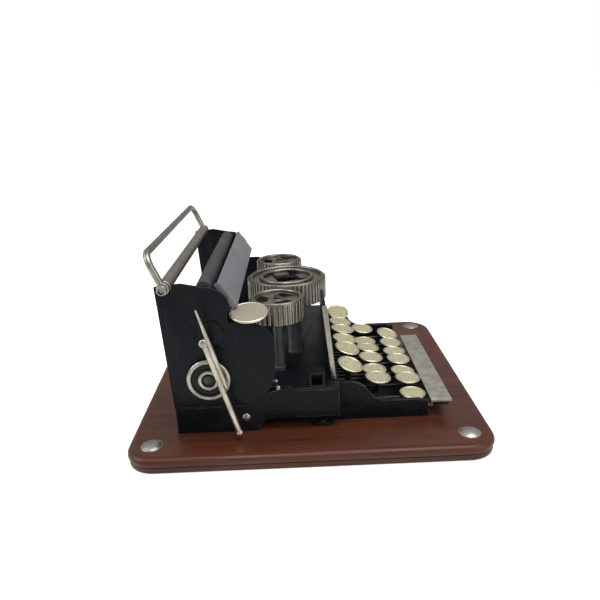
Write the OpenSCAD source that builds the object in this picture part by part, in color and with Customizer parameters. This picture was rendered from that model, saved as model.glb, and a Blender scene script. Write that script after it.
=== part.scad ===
// Ornamental metal typewriter on a varnished wooden board.
// Millimetres. The origin is the middle of the board's underside, +Z is up and the keyboard faces -Y.
// Heights named h or *_h are counted from the top of the board.

/* [Board] */
// Width of the board, left to right
board_w = 228; // [210:1:250]
// Depth of the board, front to back
board_d = 240; // [225:1:260]
// Thickness of the board
board_t = 11; // [9:0.5:16]
// Radius of the board's corners in plan
board_r = 20; // [12:1:26]
// Radius of the thumb moulding round the board's upper edge
bead_r = 3.6; // [2.5:0.1:4.2]
// Diameter of the dome-headed studs at the board's corners
stud_d = 14.4; // [10:0.2:16]
// Distance from the board's edges to the studs
stud_inset = 16.6; // [14:0.2:20]

/* [Frame and cheeks] */
// Width over the outer faces of the lower frame
frame_w = 168; // [164:1:172]
// Thickness of the frame's side walls
wall_t = 3.5; // [3:0.5:4]
// Height of the frame wall under the cheeks
skirt_h = 20.5; // [18:0.5:23]
// Height of the deck's top face
deck_h = 30; // [28:0.5:32]
// Thickness of the cheek sheets
cheek_t = 2.4; // [2:0.1:3]
// Width over the keyboard arms
arms_w = 148; // [146:1:150]
// Height of the front panel's left shoulder
panel_h = 84; // [78:1:85]

/* [Carriage] */
// Diameter of the cross rod behind the roller
rod_d = 8; // [7:0.2:9]
// Diameter of the bail's wire
bail_d = 4.5; // [4:0.1:5]
// Height of the bail's bar over the cross rod's axis
bail_rise = 22.8; // [20:0.2:26]
// Angle that the bail leans back at rest
bail_lean = 23; // [10:1:40]
// Diameter of the roller
platen_d = 10; // [8:0.5:11]
// Width of the paper plate, measured down its slope
plate_w = 19.8; // [16:0.2:22]

/* [Drums] */
// Height of the drums' rims
drum_h = 84; // [82:0.5:86]
// Radius of the large ring under its ribs
ring_r = 28; // [26:0.5:28.5]
// Depth of the large ring
ring_depth = 17.6; // [15:0.2:18]
// Radius of the two spools under their ribs
spool_r = 17.2; // [15:0.2:18]
// Depth of the two spools
spool_depth = 15.5; // [12:0.5:16]
// Distance between the two spools' axes
spool_gap = 104; // [102:1:108]
// Distance between neighbouring ribs round a drum
rib_pitch = 3.1; // [2.8:0.1:3.6]

/* [Keys] */
// Number of keys in all three rows
key_count = 19; // [13:3:19]
// Diameter of a key top
key_d = 18.4; // [16:0.2:18.6]
// Sideways distance between neighbouring key levers
lever_pitch = 6.3; // [6.3:0.1:6.5]
// How far a key turns when it is pressed
key_travel = 1.5; // [1:0.25:1.5]
// Share of the key tops' uneven lean: 0 is level, 1 is as they were set by hand
key_lean = 1; // [0:0.1:1.2]

/* [Left side fittings] */
// Diameter of the large round key beside the left cheek
side_key_d = 24.8; // [20:0.2:26]
// Radius of the wheel on the left cheek
wheel_r = 14.2; // [12:0.2:15]
// Diameter of the return lever's rod
lever_d = 3.8; // [3:0.2:4]
// Angle of the return lever from the vertical
lever_lean = 15.8; // [10:0.2:20]

/* [Hidden] */
$fn = 48;
ROW = ["c", "a", "b"];
function key_name(i) = str("key_", ROW[i % 3], floor(i / 3) + 1);

BLACK = "#20242a";
NICKEL = "#a8a294";
CREAM = "#cbc39f";
GREY = "#8f9192";
WOOD = "#6b3327";
// Radial clearance of a running fit, and the gap left between pieces that only pass each other
fit = 0.06;
gap = 0.3;

frame_x = frame_w / 2;
wall_x = frame_x - wall_t;
cheek_x = frame_x + cheek_t;
back_y = 88.5;
deck_front = -20;
deck_t = 1.6;
step_y = 12;
step_r = 45;

screw_x = wall_x - 3;
screw_ys = [74, -9];
cheek_bolt_ys = [52, 78];
cheek_bolt_h = 27;
lug_y = -5.5;
lug_w = 10.5;
deck_screw_at = [72.5, 22];
shoulder_screw_y = 20;
screw_edge = 4;
inner_back = 38;
arch_h = 9;
arch_back = 34;
tie_at = [42, 11];
tie_r = 3;

// Key levers
fulcrum_y = 26;
fulcrum_h = 8;
fulcrum_r = 2;
hub_r = 4;
hub_w = 3;
lever_t = 1.6;
lever_w = 3;
lever_first = -61.4;
stem_r = 1.2;
cap_t = 1.8;
// Row depths, and where the caps stand along each row, in the order of ROW.
// The spread counts lever pitches from one cap to the next in its row.
row_y = [-73, -29.5, -49.5];
cap_first = [lever_first, -56, -54];
cap_spread = [3, 3.27, 3.03];
// Height, forward lean and sideways lean of each cap, as they were set by hand
cap_h = [
    [10.6, 13.3, 9.8, 11.6, 9.8, 9.8, 10.6],
    [32.1, 35.8, 34.7, 34.8, 33.2, 34.7],
    [20.2, 17.5, 19, 18.9, 16.4, 20.5]
];
cap_tilt = [
    [3, 2, 6, 4, 2, 6, 14],
    [16, 14, 10, 8, 8, 6],
    [4, 2, 5, 6, 4, 6]
];
cap_roll = [
    [0, -1, 0, -3, 0, -2, -10],
    [-10, -8, -2, 0, -2, -22],
    [-2, -1, -2, 2, 0, -4]
];
comb_y = -18.5;
comb_t = 2;
slot_w = 2.4;
tray_x = 64;
tray_t = 1.6;
arm_x = arms_w / 2;
arm_t = 3;
arm_front = -81.5;
bar_y = -97.5;
bar_w = 14;
bar_h = 12.2;
bar_ends = [-74, 45];
bar_arm_gap = 15;
bar_arms = [-66.5, lever_x(bar_arm_gap) + lever_pitch / 2];
bar_arm_h = [3.8, 5.4];
bar_hub_w = 2.6;

// Front panel
panel_x = 71;
panel_t = 2;
panel_foot_y = -18.3;
panel_lean = 5.6;
panel_drop = 16;
panel_corner = 8;
scoop_r = 42;
scoop_h = 95;

// Carriage
rod_y = 86;
rod_h = 104;
journal_r = 2;
bail_x = 91;
bail_bend = 9;
eye_r = 4;
eye_w = 4;
rod_end = bail_x - bail_d / 2 - gap;
platen_y = 64;
platen_h = 99;
platen_half = 77;
shaft_r = 1.5;
plate_top = [54, 103.5];
plate_slope = 56.3;
plate_t = 1.4;
plate_half = 79;
bracket_w = 5;

// Drums
drum_y = 12.5;
spool_y = 19;
spool_x = spool_gap / 2;
rib_r = 0.85;
rib_stand = 0.9;
spindle_r = 1.5;
post_r = 4;
ring_post_r = 5.5;
ring_post_at = [22, 8];

// Left side fittings
side_key_at = [-81, 36, 82];
side_key_tilt = 12;
side_stem_r = 1.5;
guide_low = 17;
guide_l = 10;
wheel_at = [64, 41];
wheel_gap = 0.6;
wheel_w = 3.5;
pivot_at = [64, 69];
boss_at = [60.5, 72];
boss_r = 8;
lever_plane = -cheek_x - 8.4;
lever_down = 66;
lever_up = 2;
finger_shift = 2.9;

function up(h) = board_t + h;
function ribs(r) = round(2 * PI * r / rib_pitch);

// Turns a flat outline drawn in (Y, Z) upright and gives it thickness from x0 to x1
module side_plate(x0, x1) {
    translate([x0, 0, board_t])
        rotate([90, 0, 90])
            linear_extrude(x1 - x0)
                children();
}

// A round bar along X between two places
module cross_bar(r, x0, x1, y, h) {
    translate([x0, y, up(h)])
        rotate([0, 90, 0])
            cylinder(r = r, h = x1 - x0);
}

// A box given by its two corners, with heights counted from the board
module slab(low, high) {
    translate([low[0], low[1], up(low[2])])
        cube([high[0] - low[0], high[1] - low[1], high[2] - low[2]]);
}

module both_sides() {
    children();
    mirror([1, 0, 0])
        children();
}

// ---- Board ----

module board_edge() {
    square([board_r - bead_r, board_t]);
    square([board_r - 0.8, board_t / 2]);
    translate([board_r - bead_r, board_t - bead_r - 0.6])
        circle(bead_r);
    square([board_r - bead_r, board_t - 0.6]);
}

module base_board() {
    cx = board_w / 2 - board_r;
    cy = board_d / 2 - board_r;
    color(WOOD)
        difference() {
            union() {
                for (q = [0:3]) {
                    long = q % 2 == 0;
                    translate([(q == 0 || q == 3 ? cx : -cx), (q < 2 ? cy : -cy), 0])
                        rotate([0, 0, 90 * q])
                            rotate_extrude(angle = 90)
                                board_edge();
                    rotate([0, 0, 90 * q])
                        translate([(long ? cx : cy), (long ? cy : cx), 0])
                            rotate([90, 0, 0])
                                linear_extrude(2 * (long ? cy : cx))
                                    board_edge();
                }
                translate([-cx, -cy, 0])
                    cube([2 * cx, 2 * cy, board_t]);
            }
            for (x = [-1, 1], y = [-1, 1])
                translate([x * (board_w / 2 - stud_inset), y * (board_d / 2 - stud_inset), board_t - 7])
                    cylinder(r = 1.2, h = 10);
            for (x = [-1, 1], y = screw_ys)
                translate([x * screw_x, y, board_t - 8])
                    cylinder(r = 1.5, h = 10);
        }
}

module corner_stud() {
    dome_h = 2.2;
    dome_r = (pow(stud_d / 2, 2) + pow(dome_h, 2)) / (2 * dome_h);
    intersection() {
        translate([0, 0, dome_h - dome_r])
            sphere(dome_r);
        cylinder(d = stud_d, h = dome_h);
    }
    translate([0, 0, -6.5])
        cylinder(r = 1.1, h = 7);
}

module corner_studs() {
    color(NICKEL)
        for (x = [-1, 1], y = [-1, 1])
            translate([x * (board_w / 2 - stud_inset), y * (board_d / 2 - stud_inset), board_t])
                corner_stud();
}

// ---- Lower frame ----

module frame_outline() {
    difference() {
        wall_outline();
        translate([deck_front - 1, -1])
            square([arch_back - arch_h - deck_front + 1, arch_h + 1]);
        translate([arch_back - arch_h, 0])
            circle(arch_h);
    }
}

module wall_outline() {
    translate([deck_front, 0])
        square([step_y - deck_front, deck_h - deck_t]);
    intersection() {
        translate([step_y, deck_h - step_r])
            circle(step_r, $fn = 96);
        translate([step_y, 0])
            square([40, deck_h]);
    }
    translate([step_y, 0])
        square([back_y - step_y, skirt_h]);
}

// The left wall with its arch, bead, cheek lug, screw feet, inner plate and keyboard arm, cast in one
module side_frame() {
    difference() {
        union() {
            side_plate(-frame_x, -wall_x)
                frame_outline();
            slab([-frame_x - 0.7, 40, skirt_h - 1.8], [-frame_x, back_y, skirt_h - 0.4]);
            slab([-frame_x, 46, skirt_h - 1], [-wall_x, 84, skirt_h + 12]);
            for (y = screw_ys)
                slab([-wall_x - 0.5, y - 6, 0], [-screw_x + 6, y + 6, 2]);
            side_plate(-arm_x, -arm_x + arm_t)
                arm_outline();
            slab([-arm_x, comb_y - 1, 0], [-arm_x + arm_t, inner_back, deck_h - deck_t]);
            slab([-frame_x, deck_front + 0.01, arch_h], [-arm_x + 0.5, comb_y, deck_h - deck_t]);
        }
        cross_bar(fulcrum_r + 0.02, -arm_x + 0.6, -arm_x + arm_t + 1, fulcrum_y, fulcrum_h);
        cross_bar(1.3, -frame_x - 1, -wall_x + 1, tie_at[0], tie_at[1]);
        for (y = cheek_bolt_ys)
            cross_bar(1.3, -frame_x - 1, -wall_x + 1, y, cheek_bolt_h);
        for (y = screw_ys)
            translate([-screw_x, y, board_t - 1])
                cylinder(r = 1.6, h = 5);
        translate([-deck_screw_at[0], deck_screw_at[1], up(deck_h - 7)])
            cylinder(r = 0.9, h = 8);
        translate([-frame_x + screw_edge / 2, shoulder_screw_y, up(deck_h - 7)])
            cylinder(r = 0.9, h = 8);
        translate([-frame_x + screw_edge / 2, shoulder_screw_y, up(deck_h - 0.6)])
            cylinder(r = 2.1, h = 2);
    }
}

// The keyboard arm: a shoulder that rolls down in an S to a low foot
module arm_outline() {
    shoulder = 16;
    knee_y = deck_front - 7;
    hollow = 14;
    hollow_y = knee_y - 26;
    low_h = 13;
    translate([knee_y, 0])
        square([comb_y - knee_y, low_h + shoulder - 1]);
    intersection() {
        translate([knee_y, low_h - 1])
            circle(shoulder);
        translate([knee_y - shoulder, low_h - 1])
            square(shoulder);
    }
    difference() {
        translate([hollow_y, 0])
            square([12.1, 20]);
        translate([hollow_y, low_h + hollow])
            circle(hollow);
    }
    translate([arm_front, 0])
        square([knee_y - arm_front, low_h - 1]);
    translate([arm_front + 5, 0])
        square([hollow_y - arm_front - 5, low_h]);
}

module left_frame() {
    color(BLACK)
        side_frame();
}

module right_frame() {
    color(BLACK)
        mirror([1, 0, 0])
            side_frame();
}

module frame_screws() {
    color(NICKEL)
        for (x = [-1, 1], y = screw_ys)
            translate([x * screw_x, y, up(2)]) {
                cylinder(r = 2.6, h = 1.5);
                translate([0, 0, -8.5])
                    cylinder(r = 1.4, h = 9);
            }
}

module rear_panel() {
    color(BLACK)
        slab([-wall_x, back_y - 2, 0], [wall_x, back_y, skirt_h]);
}

module deck_plate() {
    back = 36;
    color(BLACK)
        difference() {
            union() {
                slab([-frame_x, deck_front, deck_h - deck_t], [frame_x, step_y, deck_h]);
                slab([-wall_x + gap, step_y - 1, deck_h - deck_t], [wall_x - gap, back, deck_h]);
            }
            for (x = [-1, 1]) {
                translate([x * deck_screw_at[0], deck_screw_at[1], up(deck_h - 3)])
                    cylinder(r = 1.1, h = 6);
                translate([x * ring_post_at[0], ring_post_at[1], up(deck_h - 3)])
                    cylinder(r = 1.6, h = 6);
                translate([x * spool_x, spool_y, up(deck_h - 3)])
                    cylinder(r = 1.6, h = 6);
            }
        }
}

// A screw that points down, its head standing on z = 0
module round_screw(head_r, head_h, shank_r, shank_l) {
    rotate_extrude()
        union() {
            square([head_r - 0.5, head_h]);
            square([head_r, head_h - 0.5]);
            translate([head_r - 0.5, head_h - 0.5])
                circle(0.5, $fn = 16);
        }
    translate([0, 0, -shank_l])
        cylinder(r = shank_r, h = shank_l + 0.5);
}

// Deck screws, and the bolts through the skirt into the tie rod
module frame_bolts() {
    color(NICKEL)
        both_sides() {
            translate([-deck_screw_at[0], deck_screw_at[1], up(deck_h)])
                round_screw(1.9, 1.8, 0.85, 5);
            translate([-frame_x + screw_edge / 2, shoulder_screw_y, up(deck_h - 0.6)])
                round_screw(1.7, 2.4, 0.85, 5);
            translate([-frame_x, tie_at[0], up(tie_at[1])])
                rotate([0, -90, 0])
                    round_screw(3, 2.6, 1.2, wall_t + 4);
        }
}

// Square hollow lug that stands on the deck's left edge
module frame_lug() {
    lug_t = 1.6;
    lug_l = 9;
    color(BLACK)
        difference() {
            slab([-frame_x, lug_y - lug_w / 2, deck_h], [-frame_x + lug_l, lug_y + lug_w / 2, deck_h + lug_w]);
            slab(
                [-frame_x - 1, lug_y - lug_w / 2 + lug_t, deck_h + lug_t],
                [-frame_x + lug_l - lug_t, lug_y + lug_w / 2 - lug_t, deck_h + lug_w - lug_t]
            );
        }
}

module tie_rod() {
    color(NICKEL)
        difference() {
            cross_bar(tie_r, -wall_x, wall_x, tie_at[0], tie_at[1]);
            cross_bar(1.3, -wall_x - 1, -wall_x + 6, tie_at[0], tie_at[1]);
            cross_bar(1.3, wall_x - 6, wall_x + 1, tie_at[0], tie_at[1]);
        }
}

// Floor under the levers, with the slotted comb that guides them along its back edge
module key_tray() {
    inner_x = arm_x - arm_t;
    lever_low = fulcrum_h - lever_w / 2 - (fulcrum_y - comb_y) * sin(key_travel) - 0.5;
    arm_low = bar_arm_h[0] - 1.4;
    color(BLACK)
        difference() {
            union() {
                slab([-tray_x, arm_front + 1, 0], [tray_x, comb_y + 0.5, tray_t]);
                slab([-inner_x, comb_y, 0], [inner_x, comb_y + comb_t, deck_h - deck_t]);
            }
            for (i = [0:key_count - 1])
                comb_slot(lever_x(i), slot_w, lever_low, fulcrum_h + lever_w / 2 + 1);
            for (x = bar_arms)
                comb_slot(x, slot_w - 0.2, arm_low, bar_arm_h[1] + 1.2);
        }
}

module comb_slot(x, w, low, high) {
    slab([x - w / 2, comb_y - 1, low], [x + w / 2, comb_y + comb_t + 1, high]);
}

// ---- Cheeks and front panel ----

module cheek_outline() {
    foot_h = skirt_h + gap;
    hump = 15.5;
    hump_at = [62.5, 86.5];
    brow = 12.5;
    brow_at = [34, 64];
    belly = 24.6;
    belly_at = [46, 45];
    top_h = rod_h - 0.5;
    polygon([
        [back_y, foot_h],
        [back_y + 4.5, top_h],
        [77, top_h + 1.5],
        [hump_at[0], hump_at[1] + hump],
        [hump_at[0], foot_h]
    ]);
    translate(hump_at)
        circle(hump, $fn = 96);
    polygon([
        [hump_at[0] + 1, foot_h],
        [hump_at[0] + 1, 78],
        [39.5, 78],
        [brow_at[0], brow_at[1] + brow],
        brow_at,
        [brow_at[0] - brow, brow_at[1]],
        [belly_at[0] - belly, belly_at[1]],
        belly_at,
        [belly_at[0], foot_h]
    ]);
    translate([hump_at[0] - hump, 77])
        square([hump, hump_at[1] - 77]);
    translate(brow_at)
        circle(brow);
    intersection() {
        translate(belly_at)
            circle(belly, $fn = 96);
        translate([0, foot_h])
            square(80);
    }
}

// A cheek in the right side's place, with a saddle for the cross rod and blind holes for its bolts
module cheek() {
    difference() {
        side_plate(frame_x, cheek_x)
            cheek_outline();
        cross_bar(rod_d / 2 + 0.05, frame_x - 1, cheek_x + 1, rod_y, rod_h);
        for (y = cheek_bolt_ys)
            cross_bar(1.3, frame_x - 1, cheek_x - 0.6, y, cheek_bolt_h);
    }
}

// The left cheek also has a notch that the round key moves in, and holes for the wheel and the lever
module left_cheek() {
    notch_back = 49.4;
    notch_h = [78, 85.4];
    color(BLACK)
        difference() {
            mirror([1, 0, 0])
                cheek();
            slab([-cheek_x - 1, 0, notch_h[0]], [-frame_x + 1, notch_back, notch_h[1]]);
            cross_bar(1.9, -cheek_x - 1, -frame_x + 1, wheel_at[0], wheel_at[1]);
            cross_bar(1.4, -cheek_x - 1, -frame_x + 1, pivot_at[0], pivot_at[1]);
        }
}

module right_cheek() {
    color(BLACK)
        cheek();
}

// Bolts from inside the frame's lugs into the cheeks
module cheek_bolts() {
    color(NICKEL)
        both_sides()
            for (y = cheek_bolt_ys)
                translate([-wall_x, y, up(cheek_bolt_h)])
                    rotate([0, 90, 0])
                        round_screw(2.8, 2, 1.2, wall_t + cheek_t - 0.8);
}

module on_panel() {
    translate([0, panel_foot_y, up(deck_h)])
        rotate([90 - panel_lean, 0, 0])
            translate([0, 0, -panel_t])
                children();
}

module panel_half(rise) {
    translate([0, -1])
        square([panel_x, rise - panel_corner + 1]);
    translate([0, -1])
        square([panel_x - panel_corner, rise + 1]);
    translate([panel_x - panel_corner, rise - panel_corner])
        circle(panel_corner);
}

// The right shoulder stands lower than the left one, and the foot is cut flush with the deck
module front_panel() {
    rise = panel_h - deck_h;
    color(BLACK)
        difference() {
            on_panel()
                linear_extrude(panel_t)
                    difference() {
                        union() {
                            panel_half(rise - panel_drop);
                            mirror([1, 0])
                                panel_half(rise);
                        }
                        translate([0, scoop_h - deck_h])
                            circle(scoop_r, $fn = 96);
                    }
            under_deck();
        }
}

module under_deck() {
    slab([-frame_x, deck_front - 5, deck_h - 6], [frame_x, 0, deck_h]);
}

// Bright strips down the panel's two upright edges
module panel_trim() {
    strip_w = 3.4;
    rise = panel_h - deck_h - 1.5;
    color(NICKEL)
        difference() {
            on_panel() {
                translate([-panel_x - 2, -1, panel_t / 2 - strip_w / 2])
                    cube([2, rise + 1, strip_w]);
                translate([panel_x, -1, panel_t / 2 - strip_w / 2])
                    cube([2, rise - panel_drop + 1, strip_w]);
            }
            under_deck();
        }
}

// ---- Carriage ----

module rear_rod() {
    color(NICKEL) {
        cross_bar(rod_d / 2, -rod_end, rod_end, rod_y, rod_h);
        cross_bar(journal_r, -rod_end - 7.5, rod_end + 7.5, rod_y, rod_h);
    }
}

module bail() {
    wire = bail_d / 2;
    color(NICKEL)
        translate([0, rod_y, up(rod_h)])
            rotate([-bail_lean, 0, 0]) {
                difference() {
                    union() {
                        for (x = [-bail_x, bail_x]) {
                            translate([x - eye_w / 2, 0, 0])
                                rotate([0, 90, 0])
                                    cylinder(r = eye_r, h = eye_w);
                            translate([x, 0, 2.4])
                                cylinder(r = wire, h = bail_rise - bail_bend - 2.4);
                        }
                    }
                    translate([-bail_x - eye_w, 0, 0])
                        rotate([0, 90, 0])
                            cylinder(r = journal_r + fit, h = 2 * (bail_x + eye_w));
                }
                for (side = [0, 1])
                    mirror([side, 0, 0])
                        translate([bail_x - bail_bend, 0, bail_rise - bail_bend])
                            rotate([90, 0, 0])
                                rotate_extrude(angle = 90)
                                    translate([bail_bend, 0])
                                        circle(wire);
                translate([bail_bend - bail_x, 0, bail_rise])
                    rotate([0, 90, 0])
                        cylinder(r = wire, h = 2 * (bail_x - bail_bend));
            }
}

module bail_nuts() {
    nut_x = bail_x + eye_w / 2 + gap;
    color(NICKEL)
        both_sides()
            difference() {
                union() {
                    cross_bar(3.1, -nut_x - 3, -nut_x, rod_y, rod_h);
                    cross_bar(2.3, -nut_x - 4.2, -nut_x - 2.9, rod_y, rod_h);
                }
                cross_bar(journal_r + 0.02, -nut_x - 5, -nut_x + 1, rod_y, rod_h);
            }
}

// Blocks inside the cheeks: each carries an end of the roller's shaft and a lug for the paper plate
module carriage_brackets() {
    color(BLACK)
        both_sides()
            difference() {
                union() {
                    slab([-frame_x, platen_y - 5, platen_h - 6], [-frame_x + bracket_w, platen_y + 9, platen_h + 2.2]);
                    slab([-frame_x, 49, 87], [-frame_x + bracket_w, 60, 93.5]);
                }
                cross_bar(shaft_r + fit, -frame_x + 2, 0, platen_y, platen_h);
            }
}

module platen() {
    color("#45474a")
        difference() {
            cross_bar(platen_d / 2, -platen_half, platen_half, platen_y, platen_h);
            cross_bar(shaft_r, -platen_half - 1, platen_half + 1, platen_y, platen_h);
        }
}

module platen_shaft() {
    end_x = frame_x - 2 - gap;
    color(NICKEL)
        cross_bar(shaft_r, -end_x, end_x, platen_y, platen_h);
}

// Sloping plate with its two ends folded under
module paper_plate() {
    fold = 4;
    color(GREY)
        translate([0, plate_top[0], up(plate_top[1])])
            rotate([-180 + plate_slope, 0, 0]) {
                translate([-plate_half, 0, 0])
                    cube([2 * plate_half, plate_w, plate_t]);
                for (x = [-plate_half, plate_half - plate_t])
                    translate([x, 0, 0])
                        cube([plate_t, plate_w, fold]);
            }
}

// ---- Drums ----

// A drum's ribbed wall, its top rim turned over in a bead
module drum_wall(r, depth, bead) {
    n = ribs(r);
    difference() {
        union() {
            translate([0, 0, -depth])
                linear_extrude(depth - bead)
                    union() {
                        circle(r + rib_stand, $fn = 96);
                        for (i = [0:n - 1])
                            rotate([0, 0, i * 360 / n])
                                translate([r + rib_stand, 0])
                                    circle(rib_r, $fn = 16);
                    }
            rotate_extrude($fn = 96)
                translate([r - bead / 2, -bead])
                    circle(bead, $fn = 24);
        }
        translate([0, 0, -depth - 1])
            cylinder(r = r - 2, h = depth + 2, $fn = 96);
    }
}

module type_ring() {
    floor_h = 2.4;
    floor_t = 1.6;
    inner_r = 19;
    tab_w = 11;
    color(NICKEL)
        translate([0, drum_y, up(drum_h)]) {
            drum_wall(ring_r, ring_depth, 1.3);
            rotate_extrude($fn = 96) {
                translate([inner_r - 1.2, -floor_h - floor_t])
                    square([ring_r - inner_r, floor_t]);
                translate([inner_r, -1.4])
                    circle(1.4, $fn = 24);
            }
            for (q = [0:3])
                rotate([0, 0, 90 * q + 20])
                    translate([9, -tab_w / 2, -floor_h - floor_t])
                        cube([inner_r - 9, tab_w, floor_t]);
        }
}

// Dark plug in the middle of the large ring, carried by its four tabs
module ring_core() {
    color(BLACK)
        translate([0, drum_y, up(drum_h - 12)])
            difference() {
                cylinder(r = 12.5, h = 8);
                translate([0, 0, 2])
                    cylinder(r = 9, h = 7);
            }
}

module ring_posts() {
    top_h = drum_h - ring_depth;
    color("#4a4d50")
        for (x = [-1, 1])
            translate([x * ring_post_at[0], ring_post_at[1], up(deck_h)]) {
                cylinder(r = ring_post_r, h = top_h - deck_h);
                translate([0, 0, -2.5])
                    cylinder(r = 1.5, h = 3);
            }
}

module spool() {
    floor_h = 2.2;
    floor_t = 1.4;
    color(NICKEL)
        translate([0, spool_y, up(drum_h)])
            difference() {
                union() {
                    drum_wall(spool_r, spool_depth, 1.3);
                    difference() {
                        translate([0, 0, -floor_h - floor_t])
                            cylinder(r = spool_r - 1.5, h = floor_t);
                        for (q = [0:2])
                            rotate([0, 0, 120 * q + 55])
                                translate([0, 0, -floor_h - floor_t - 1])
                                    rotate_extrude(angle = 70)
                                        translate([6, 0])
                                            square([spool_r - 9, floor_t + 2]);
                    }
                    translate([0, 0, -8])
                        cylinder(r = 4, h = 6.5);
                }
                translate([0, 0, -9])
                    cylinder(r = spindle_r + fit, h = 10);
            }
}

module left_spool() {
    translate([-spool_x, 0, 0])
        spool();
}

module right_spool() {
    translate([spool_x, 0, 0])
        spool();
}

// Each post carries a spool on the thin spindle at its top, held by a small collar
module spool_posts() {
    shoulder = drum_h - 8 - gap;
    color("#2c3138")
        for (x = [-1, 1])
            translate([x * spool_x, spool_y, up(deck_h)]) {
                cylinder(r = post_r, h = shoulder - deck_h);
                translate([0, 0, -2.5])
                    cylinder(r = 1.5, h = 3);
                cylinder(r = spindle_r, h = drum_h + 1.5 - deck_h);
                translate([0, 0, drum_h - 1.5 + gap - deck_h])
                    cylinder(r = 2.5, h = 1);
            }
}

// ---- Left side fittings ----

module on_side_key() {
    translate([side_key_at[0], side_key_at[1], up(side_key_at[2])])
        rotate([0, -side_key_tilt, 0])
            children();
}

module side_key() {
    disc_t = 2.2;
    color(CREAM)
        on_side_key() {
            key_cap(side_key_d / 2, disc_t);
            translate([0, 0, -guide_low - gap - 1.6])
                cylinder(r = side_stem_r, h = guide_low + gap + 2);
            translate([0, 0, -guide_low - gap - 1.6])
                cylinder(r = 2.6, h = 1.6);
        }
}

// Guide for the round key's stem, fixed inside the left cheek
module side_key_guide() {
    color(BLACK)
        difference() {
            union() {
                on_side_key()
                    translate([0, 0, -guide_low])
                        cylinder(r = 4, h = guide_l);
                slab(
                    [-frame_x, side_key_at[1] - 4, side_key_at[2] - guide_low + 1],
                    [-frame_x + 3.4, side_key_at[1] + 4, side_key_at[2] - guide_low + guide_l - 2]
                );
            }
            on_side_key()
                translate([0, 0, -guide_low - 2])
                    cylinder(r = side_stem_r + fit, h = guide_l + 4);
            slab([-frame_x - 6, 26, 50], [-frame_x, 46, 84]);
        }
}

module side_wheel() {
    x0 = -cheek_x - wheel_gap - wheel_w;
    x1 = -cheek_x - wheel_gap;
    color(NICKEL)
        difference() {
            union() {
                cross_bar(wheel_r - 0.8, x0 + 1.2, x1, wheel_at[0], wheel_at[1]);
                translate([x0, wheel_at[0], up(wheel_at[1])])
                    rotate([0, 90, 0])
                        rotate_extrude($fn = 96) {
                            translate([wheel_r - 1.6, 1.6])
                                circle(1.6, $fn = 24);
                            translate([5.6, 1.5])
                                circle(1.5, $fn = 24);
                        }
            }
            cross_bar(2 + fit, x0 - 1, x1 + 1, wheel_at[0], wheel_at[1]);
            difference() {
                cross_bar(4.2, x0 - 1, x0 + 1.8, wheel_at[0], wheel_at[1]);
                cross_bar(1, x0 - 2, x0 + 2, wheel_at[0], wheel_at[1]);
            }
        }
}

module wheel_spindle() {
    x0 = -cheek_x - wheel_gap - wheel_w;
    color(BLACK) {
        cross_bar(1.85, -cheek_x - 0.5, -frame_x + 1, wheel_at[0], wheel_at[1]);
        cross_bar(2, x0 + 1, -cheek_x, wheel_at[0], wheel_at[1]);
        cross_bar(3.4, x0 + 0.4, x0 + 1.4, wheel_at[0], wheel_at[1]);
        cross_bar(3.4, -frame_x, -frame_x + 1.6, wheel_at[0], wheel_at[1]);
    }
}

module return_lever() {
    rod_r = lever_d / 2;
    finger_r = 1.5;
    color(NICKEL)
        translate([lever_plane, pivot_at[0], up(pivot_at[1])])
            rotate([-lever_lean, 0, 0])
                difference() {
                    union() {
                        translate([0, 0, -lever_down])
                            cylinder(r = rod_r, h = lever_down + lever_up);
                        translate([0, 0, -lever_down])
                            sphere(2.4);
                        translate([-2, 0, 0])
                            rotate([0, 90, 0])
                                cylinder(r = 2.8, h = 4);
                        translate([0, -finger_shift, -33])
                            cylinder(r = finger_r, h = 30);
                        translate([0, -finger_shift, -3.01])
                            cylinder(r1 = finger_r, r2 = 0.7, h = 24);
                        translate([0, -finger_shift, 21])
                            sphere(0.7);
                    }
                    translate([-4, 0, 0])
                        rotate([0, 90, 0])
                            cylinder(r = 1.5 + fit, h = 8);
                }
}

// Dark disc on the cheek with the boss that carries the lever's pin
module lever_bracket() {
    boss_x = lever_plane + 2 + gap;
    color(BLACK)
        difference() {
            union() {
                cross_bar(boss_r, -cheek_x - 1.6, -cheek_x, boss_at[0], boss_at[1]);
                cross_bar(2.8, boss_x, -cheek_x, pivot_at[0], pivot_at[1]);
            }
            cross_bar(1.52, boss_x - 1, -cheek_x + 1, pivot_at[0], pivot_at[1]);
        }
}

module lever_pin() {
    head_x = lever_plane - 2 - gap;
    color(NICKEL) {
        cross_bar(1.5, head_x, -cheek_x, pivot_at[0], pivot_at[1]);
        cross_bar(1.35, -cheek_x - 0.5, -frame_x - 0.2, pivot_at[0], pivot_at[1]);
        cross_bar(2.2, head_x - 1.4, head_x, pivot_at[0], pivot_at[1]);
    }
}

// ---- Keyboard ----

function lever_x(i) = lever_first + i * lever_pitch;

// A round key top with a raised rim, its underside on z = 0
module key_cap(r, t) {
    rim = 0.9;
    difference() {
        cylinder(r = r - rim, h = t);
        translate([0, 0, t - 0.35])
            cylinder(r = r - 2 * rim, h = 1);
    }
    rotate_extrude()
        translate([r - rim, t / 2])
            circle(rim, $fn = 24);
}

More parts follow.
